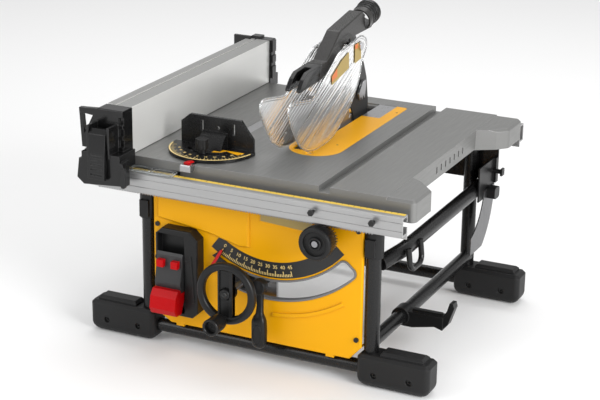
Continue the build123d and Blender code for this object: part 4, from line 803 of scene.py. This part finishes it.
# %% Guard ribs and whole guards
RIB_COUNT = 13
RIB_SLOPE = 0.474


def guard_ribs(x_middle):
    """Slim tubes side by side: each starts 3 mm above the lower edge and runs back, rising 0.474 mm for
    each mm."""
    parts = []
    run = np.linspace(0, 1, 12)[:, None]
    for start in np.linspace(74, 200, RIB_COUNT):
        low_z = np.interp(start, [74, 84, 116, 150, 200], [44, 31, 12, 8, 10]) + 3
        end = min(start + 190, 282)
        low, high = at(x_middle, start, low_z), at(x_middle, end, low_z + RIB_SLOPE * (end - start))
        parts.append(tube(low + run * (high - low), 1.35, (1, 0, 0), steps=8))
    return parts


def guard_shape(x_outer, side):
    """Panel, double rim and ribs of one guard; side is +1 for the right guard and -1 for the left."""
    outline = even_outline(GUARD_OUTLINE, 200, 6)
    x_middle = x_outer - side * 1.6
    path = np.array([at(x_middle, y, z) for y, z in outline])
    inner = np.array([at(x_middle, y, z) for y, z in inward(outline, 4.2)])
    parts = [plate(path - np.array([0.6 * MM, 0, 0]), (1.2 * MM, 0, 0)),
             tube(path, 1.5, (1, 0, 0), steps=10, closed=True),
             tube(inner, 0.8, (1, 0, 0), steps=8, closed=True)]
    parts += guard_ribs(x_middle)
    hub = joint_at("right_guard_lift" if side > 0 else "left_guard_lift")
    hub = np.array([at(x_outer, 0, 0)[0], hub[1], hub[2]])
    parts.append(turned([(0, -2.2), (8.5, -2.2), (9.0, -1.6), (9.0, 0.6), (8.2, 1.2), (0, 1.2)],
                        hub - np.array([side * 1.6 * MM, 0, 0]), (side, 0, 0), steps=40))
    return gather(parts)


right_clear = make_piece("right_guard_clear", *guard_shape(-184.5, 1), clear_guard, "right_clear",
                         "clear_guard", merge=False)
left_clear = make_piece("left_guard_clear", *guard_shape(-236.5, -1), clear_guard, "left_clear",
                        "clear_guard", merge=False)
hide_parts("right_guard")
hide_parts("left_guard")
print("guards", len(right_clear.data.polygons), "faces each")

# %% [markdown]
# Each guard carries two labels. They are left blank here: a plain ochre ground, with an orange corner on
# the right guard's.

# %% Guard labels
GUARD_LABELS = [[(201, 112), (202, 98), (268, 111), (267, 139), (240, 131)],
                [(291, 145), (315, 145), (317, 116), (291, 113)]]
GUARD_CORNERS = [[(201, 112), (201.6, 104), (222, 107.5), (221, 121.5)],
                 [(291, 145), (303, 145), (303, 137), (291, 137)]]


def label(outlines, x, depth):
    """Thin plates in a guard's plane."""
    return gather([plate([at(x, y, z) for y, z in outline], (depth * MM, 0, 0)) for outline in outlines])


for name, outlines, x, depth, ink, body in [
        ("right_guard_labels", GUARD_LABELS, -184.45, 0.25, ink_ochre, "right_clear"),
        ("right_guard_label_corners", GUARD_CORNERS, -184.2, 0.15, ink_orange, "right_clear"),
        ("left_guard_labels", GUARD_LABELS, -236.55, -0.25, ink_ochre, "left_clear")]:
    make_piece(name, *label(outlines, x, depth), ink, body, "clear_guard")
print("guard labels left blank")

# %% [markdown]
# ## Turned pieces
# Knobs, the handwheel's rim and the dust port are all turned about an axis, so each is a short list of
# radii and distances. Small steps in the profile make the rings and dishes that catch the light.

# %% Handwheel
wheel_centre = joint_at("wheel_turn")
wheel_centre[1] = at(0, -50.5, 0)[1]
FRONT = np.array([0, -1.0, 0])
RIM_RADIUS, RIM_HALF_WIDTH, RIM_HALF_DEPTH = 44.5, 6.4, 6.9
RIM_STEPS = 96


def wheel_rim():
    """A superellipse outline of power 2.6 about the rim's radius, carried round the wheel's axis and
    closed."""
    across, along = superellipse(24, 2.6)
    profile = np.stack([RIM_RADIUS + RIM_HALF_WIDTH * across, RIM_HALF_DEPTH * along], -1)
    points, _ = turned(profile, wheel_centre, FRONT, steps=RIM_STEPS)
    return points, grid_faces(len(profile), RIM_STEPS, close_rows=True)


def wheel_spoke():
    """The upright spoke: a board with two raised edges, its outline cut to the rim's inner radius."""
    half = 13.0
    reach = math.sqrt((RIM_RADIUS - 4.5) ** 2 - half ** 2)
    sides = []
    for x0, x1, front in ((-half, half, 3.0), (-half, -half + 3, 5.0), (half - 5, half, 5.5)):
        corners = [(x0, -reach), (x1, -reach), (x1, reach), (x0, reach)]
        outline = [wheel_centre + np.array([x * MM, -front * MM, z * MM]) for x, z in corners]
        sides.append(plate(outline, (0, (front + 4) * MM, 0)))
    return gather(sides)


HUB_PROFILE = [(0, 8.2), (7.5, 8.2), (8.5, 7.2), (9, 3), (12.5, 2.5), (13, -12), (0, -12)]
wheel_parts = gather([wheel_rim(), wheel_spoke(), turned(HUB_PROFILE, wheel_centre, FRONT, 40)])
wheel = make_piece("handwheel", *wheel_parts, black_moulding, "wheel", "black_plastic", merge=False)
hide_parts("height_wheel")
WHEEL_SCREW_PROFILE = [(0, 8.6), (1.8, 8.6), (2.0, 9.4), (4.2, 9.4), (4.8, 8.8), (4.8, 7.8), (0, 7.8)]
make_piece("handwheel_screw", *turned(WHEEL_SCREW_PROFILE, wheel_centre, FRONT, 6), black_steel, "wheel",
           "black_paint")
print("handwheel of", len(wheel.data.polygons), "faces")

# %% [markdown]
# The crank knob spins on the rim, and the rail knob turns the rack shaft. Both are a rim, a groove and a
# dish, with a screw in the middle; the rail knob's rim has shallow flutes for the fingers.

# %% Crank knob and rail knob
crank_centre = joint_at("crank_spin")
crank_centre[1] = at(0, -62, 0)[1]
CRANK_PROFILE = [(0, 23), (3.2, 23), (4.0, 24), (8.6, 24.5), (9.4, 32.5), (10.6, 34), (12.6, 34),
                 (13.8, 32.6), (14.0, 30), (13.7, 27.5), (13.2, 26.8), (13.4, 25.5), (13.5, 8), (12.6, 2),
                 (11.6, 0.2), (5, 0), (5, -11), (0, -11)]
crank = make_piece("crank_grip", *turned(CRANK_PROFILE, crank_centre, FRONT, 56), black_moulding, "crank",
                   "black_plastic", sharp=28)
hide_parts("crank_knob")

knob_centre = joint_at("rack_turn")
knob_centre[1] = at(0, -18, 0)[1]
RAIL_KNOB_PROFILE = [(0, 17.0), (7.0, 17.0), (7.8, 20.2), (9.6, 20.6), (10.6, 19.6), (11.0, 16.4),
                     (18.6, 16.4), (19.4, 20.8), (21.2, 22.0), (24.4, 22.0), (26.0, 20.8), (26.8, 18.6),
                     (27.0, 15), (26.7, 6), (25.4, 1.2), (23.4, 0.2), (12, 0), (11.8, -6.6), (5, -6.8)]


def grip_ripple(angle):
    """Forty shallow flutes: one part in a hundred and twenty."""
    return 1 + 0.008 * np.cos(40 * angle)


rail_knob = make_piece("rail_knob", *turned(RAIL_KNOB_PROFILE, knob_centre, FRONT, 160, grip_ripple),
                       black_moulding, "rack_drive", "black_plastic", sharp=28)
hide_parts("rack_knob")
KNOB_SCREW_PROFILE = [(0, 17.4), (1.6, 17.4), (1.8, 18.6), (4.4, 18.6), (5.0, 18), (5.0, 16.8), (0, 16.8)]
make_piece("rail_knob_screw", *turned(KNOB_SCREW_PROFILE, knob_centre, FRONT, 24), black_steel, "rack_drive",
           "black_paint")
print("knobs turned")

# %% [markdown]
# ## The bevel lock lever
# The lever is a round boss with a thin neck that swells into a long rounded grip. Its section is a
# superellipse whose width, depth and place change along the lever, so one grid of points makes the whole
# shape.

# %% Lock lever
lock_centre = joint_at("lock_swing")
lock_centre[1] = at(0, -10, 0)[1]


def lever_grid():
    """Sections down the lever: columns are distance below the boss, sideways shift, front shift, half width
    and half depth, all in mm; between them the values follow a smooth curve through interpolation."""
    keys = np.array([(4, 0, 0.0, 7, 5), (16, 1, -0.5, 6, 4.6), (30, 3, -3.5, 5.4, 4.4), (42, 4, -7, 6.0, 5),
                     (48, 4, -8.5, 10, 7.5), (54, 4, -9, 11.8, 8.8), (70, 4.5, -9, 12.4, 9.2),
                     (90, 4.5, -9, 12, 9), (97, 4.5, -9, 9.5, 7.2), (101, 4.5, -9, 4, 3),
                     (101.6, 4.5, -9, 0, 0)], float)
    down = keys[:, 0]
    fine = np.linspace(down[0], down[-1], 70)
    rows = np.stack([np.interp(fine, down, keys[:, k]) for k in range(1, 5)], -1)
    kernel = np.array([1, 2, 3, 2, 1]) / 9
    padded = np.pad(rows, ((2, 2), (0, 0)), mode="edge")
    rows = np.stack([np.convolve(padded[:, k], kernel, mode="valid") for k in range(4)], -1)
    rows[-1, 2:] = 0
    across, along = superellipse(32, 2.8)
    x = rows[:, :1] + rows[:, 2:3] * across
    y = rows[:, 1:2] + rows[:, 3:4] * along
    z = np.broadcast_to(-fine[:, None], x.shape)
    return lock_centre + np.stack([x, y, z], -1) * MM, grid_faces(len(fine), 32)


BOSS_PROFILE = [(0, 8), (9.5, 8), (11.6, 7), (12.8, 4.6), (13, 2), (13, -4), (12, -6.8), (4, -7), (4, -46),
                (0, -46)]
lock_parts = gather([lever_grid(), turned(BOSS_PROFILE, lock_centre, FRONT, 48)])
lock = make_piece("bevel_lock_lever", *lock_parts, black_moulding, "bevel_lock", "black_plastic", merge=False)
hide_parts("lock_lever")


def grip_recess():
    """A rounded rim round the finger recess of the grip: a circle carried round an oval of half width 8.2
    mm and half height 17 mm on the grip's front face."""
    t = np.linspace(0, 2 * np.pi, 64, endpoint=False)
    oval = np.stack([4.5 + 8.2 * np.sin(t), np.full(t.shape, -17.6), -76 + 17 * np.cos(t)], -1)
    return tube(lock_centre + oval * MM, 0.9, FRONT, steps=10, closed=True)


make_piece("bevel_lock_grip_rim", *grip_recess(), black_moulding, "bevel_lock", "black_plastic")
print("lever of", len(lock.data.vertices), "points")

# %% [markdown]
# ## The dust port
# The port is a short pipe with three raised rings at the end of the guard arm. It points backwards and
# twelve degrees up, so its rings are turned about that line.

# %% Dust port rings
PORT_AXIS = np.array([0, math.cos(math.radians(12)), math.sin(math.radians(12))])
port_centre = at(-210.5, 392, 172)
RING_PROFILE = [(19.4, -10), (20.4, -9.6), (20.4, -7.4), (19.4, -7), (19.4, -3), (20.6, -2.6), (20.6, -0.4),
                (19.4, 0), (19.4, 3.4), (20.6, 3.8), (20.6, 5.6), (19.5, 6), (19.5, -10)]
LIP_PROFILE = [(21.2, 8), (21.6, 8.6), (21.6, 15.2), (20.9, 16.0), (18.0, 16.2), (16.6, 15.4), (16.5, 8)]
for name, profile in ("dust_port_rings", RING_PROFILE), ("dust_port_lip", LIP_PROFILE):
    make_piece(name, *turned(profile, port_centre, PORT_AXIS, 64), black_gloss, "blade_unit", "black_plastic")
print("port rings at", port_centre.round(3))

# %% [markdown]
# ## The mitre gauge
# The half-round plate carries a pale arc of degrees and a plain yellow patch. A red pointer and a pale
# bracket stand on the bar's front end. Marks are thin plates at a radius and an angle about the gauge's
# pivot.

# %% Mitre scale
mitre_pivot = joint_at("mitre_swing")
PLATE_TOP = 5.6


def mitre_point(radius, degrees, z):
    """Points about the gauge's pivot, an angle to the right of straight forward."""
    a = np.radians(np.asarray(degrees, float))
    return np.stack([mitre_pivot[0] + radius * MM * np.sin(a), mitre_pivot[1] - radius * MM * np.cos(a),
                     np.full(a.shape, at(0, 0, z)[2])], -1)


def mitre_figures():
    """The figures 0 to 60 on both sides, standing square to the radius."""
    parts = []
    for a in range(-60, 61, 15):
        t = math.radians(a)
        right, up = np.array([math.cos(t), math.sin(t), 0]), np.array([-math.sin(t), math.cos(t), 0])
        parts.append(figure(str(abs(a)), 6.0, mitre_point(54.5, a, PLATE_TOP + 0.1), right, up,
                            np.array([0, 0, 1.0])))
    return gather(parts)


mitre_edge = arc_band(mitre_point, 69.2, 71.6, -84, 84, PLATE_TOP - 0.05, (0, 0, 0.3 * MM), 72)
mitre_marks = radial_marks(mitre_point, range(-75, 76, 5), 0, 15, (60.5, 64.0), 68, 0.35, PLATE_TOP,
                           (0, 0, 0.25 * MM))
make_piece("mitre_scale_edge", *mitre_edge, ink_cream, "mitre_protractor", "black_paint")
make_piece("mitre_scale_marks", *mitre_marks, ink_cream, "mitre_protractor", "black_paint")
make_piece("mitre_scale_figures", *mitre_figures(), ink_cream, "mitre_protractor", "black_paint",
           merge=False)
print("mitre scale printed")

# %% [markdown]
# The patch takes the place of a printed badge. It keeps clear of the arc that the lock stud runs in. The
# pointer is a thin red plate with its edges rounded by a Bevel modifier, and the bracket is three small
# plates narrow enough to slide in the table's slot.

# %% Mitre patch, pointer and bracket
PATCH_CORNERS = [(-325, 73), (-325, 55), (-312, 60.5), (-306, 69.5), (-296, 65), (-281, 59.5), (-276, 73)]
patch = [at(x, y, PLATE_TOP) for x, y in PATCH_CORNERS]
make_piece("mitre_patch", *plate(patch, (0, 0, 0.25 * MM)), yellow_paint, "mitre_protractor",
           "yellow_paint")
pointer = [at(-342, -6, 1.7), at(-334, -7, 1.7), at(-329.5, 6, 1.7), at(-334, 8.3, 1.7), at(-340, 4, 1.7)]
soften(make_piece("mitre_pointer", *plate(pointer, (0, 0, 2.6 * MM)), red_moulding, "mitre_slider",
                  "red_plastic"), 0.5)
bracket = gather([block(-344.5, -327.5, -11.9, -3, -0.4, 1.65), block(-344.5, -342.3, -11.9, -3, -7, 0),
                  block(-329.7, -327.5, -11.9, -3, -7, 0)])
make_piece("mitre_bracket", *bracket, plated, "mitre_slider", "plated_steel", merge=False)
print("mitre gauge dressed")

# %% [markdown]
# ## The studio
# A pale floor, a pale surround and three soft lamps. The large lamp stands to the right and in front, so
# that the fence's face and the panel are lit and the underside falls into a soft shade.

# %% Floor, surround and lamps
def add_floor():
    """A plain level floor: a square twelve metres wide."""
    half = 6.0
    mesh = bpy.data.meshes.new("floor")
    corners = [(-half, -half, 0), (half, -half, 0), (half, half, 0), (-half, half, 0)]
    mesh.from_pydata(corners, [], [(0, 1, 2, 3)])
    floor = bpy.data.objects.new("floor", mesh)
    material, _, shader = start_material("floor_paper")
    shader.inputs["Base Color"].default_value = (0.9, 0.9, 0.9, 1)
    shader.inputs["Roughness"].default_value = 0.85
    mesh.materials.append(material)
    bpy.context.scene.collection.objects.link(floor)


def add_lamp(name, place, target, size, watts):
    """A square area lamp that faces a point."""
    lamp = bpy.data.lights.new(name, "AREA")
    lamp.shape = "SQUARE"
    lamp.size = size
    lamp.energy = watts
    holder = bpy.data.objects.new(name, lamp)
    bpy.context.scene.collection.objects.link(holder)
    away = np.array(place, float) - np.array(target, float)
    away /= np.linalg.norm(away)
    side = np.cross([0, 0, 1.0], away)
    side /= np.linalg.norm(side)
    matrix = np.eye(4)
    matrix[:3, 0], matrix[:3, 1], matrix[:3, 2], matrix[:3, 3] = side, np.cross(away, side), away, place
    holder.matrix_world = Matrix(matrix.tolist())


add_floor()
LAMPS = [("key", (3.0, -1.35, 1.5), (0, 0, 0.3), 1.6, 105),
         ("fill", (-1.9, -2.7, 1.9), (0, 0, 0.2), 1.8, 30),
         ("top", (-0.2, 1.0, 2.8), (0, 0, 0.3), 2.2, 34)]   # name, place, target, width in m, watts
for lamp_row in LAMPS:
    add_lamp(*lamp_row)
SURROUND = 0.62
world = bpy.data.worlds.new("surround")
bpy.context.scene.world = world
world.use_nodes = True
world.node_tree.nodes["Background"].inputs["Color"].default_value = (1, 1, 1, 1)
world.node_tree.nodes["Background"].inputs["Strength"].default_value = SURROUND
bpy.context.scene.view_settings.view_transform = "Standard"
print("studio ready")
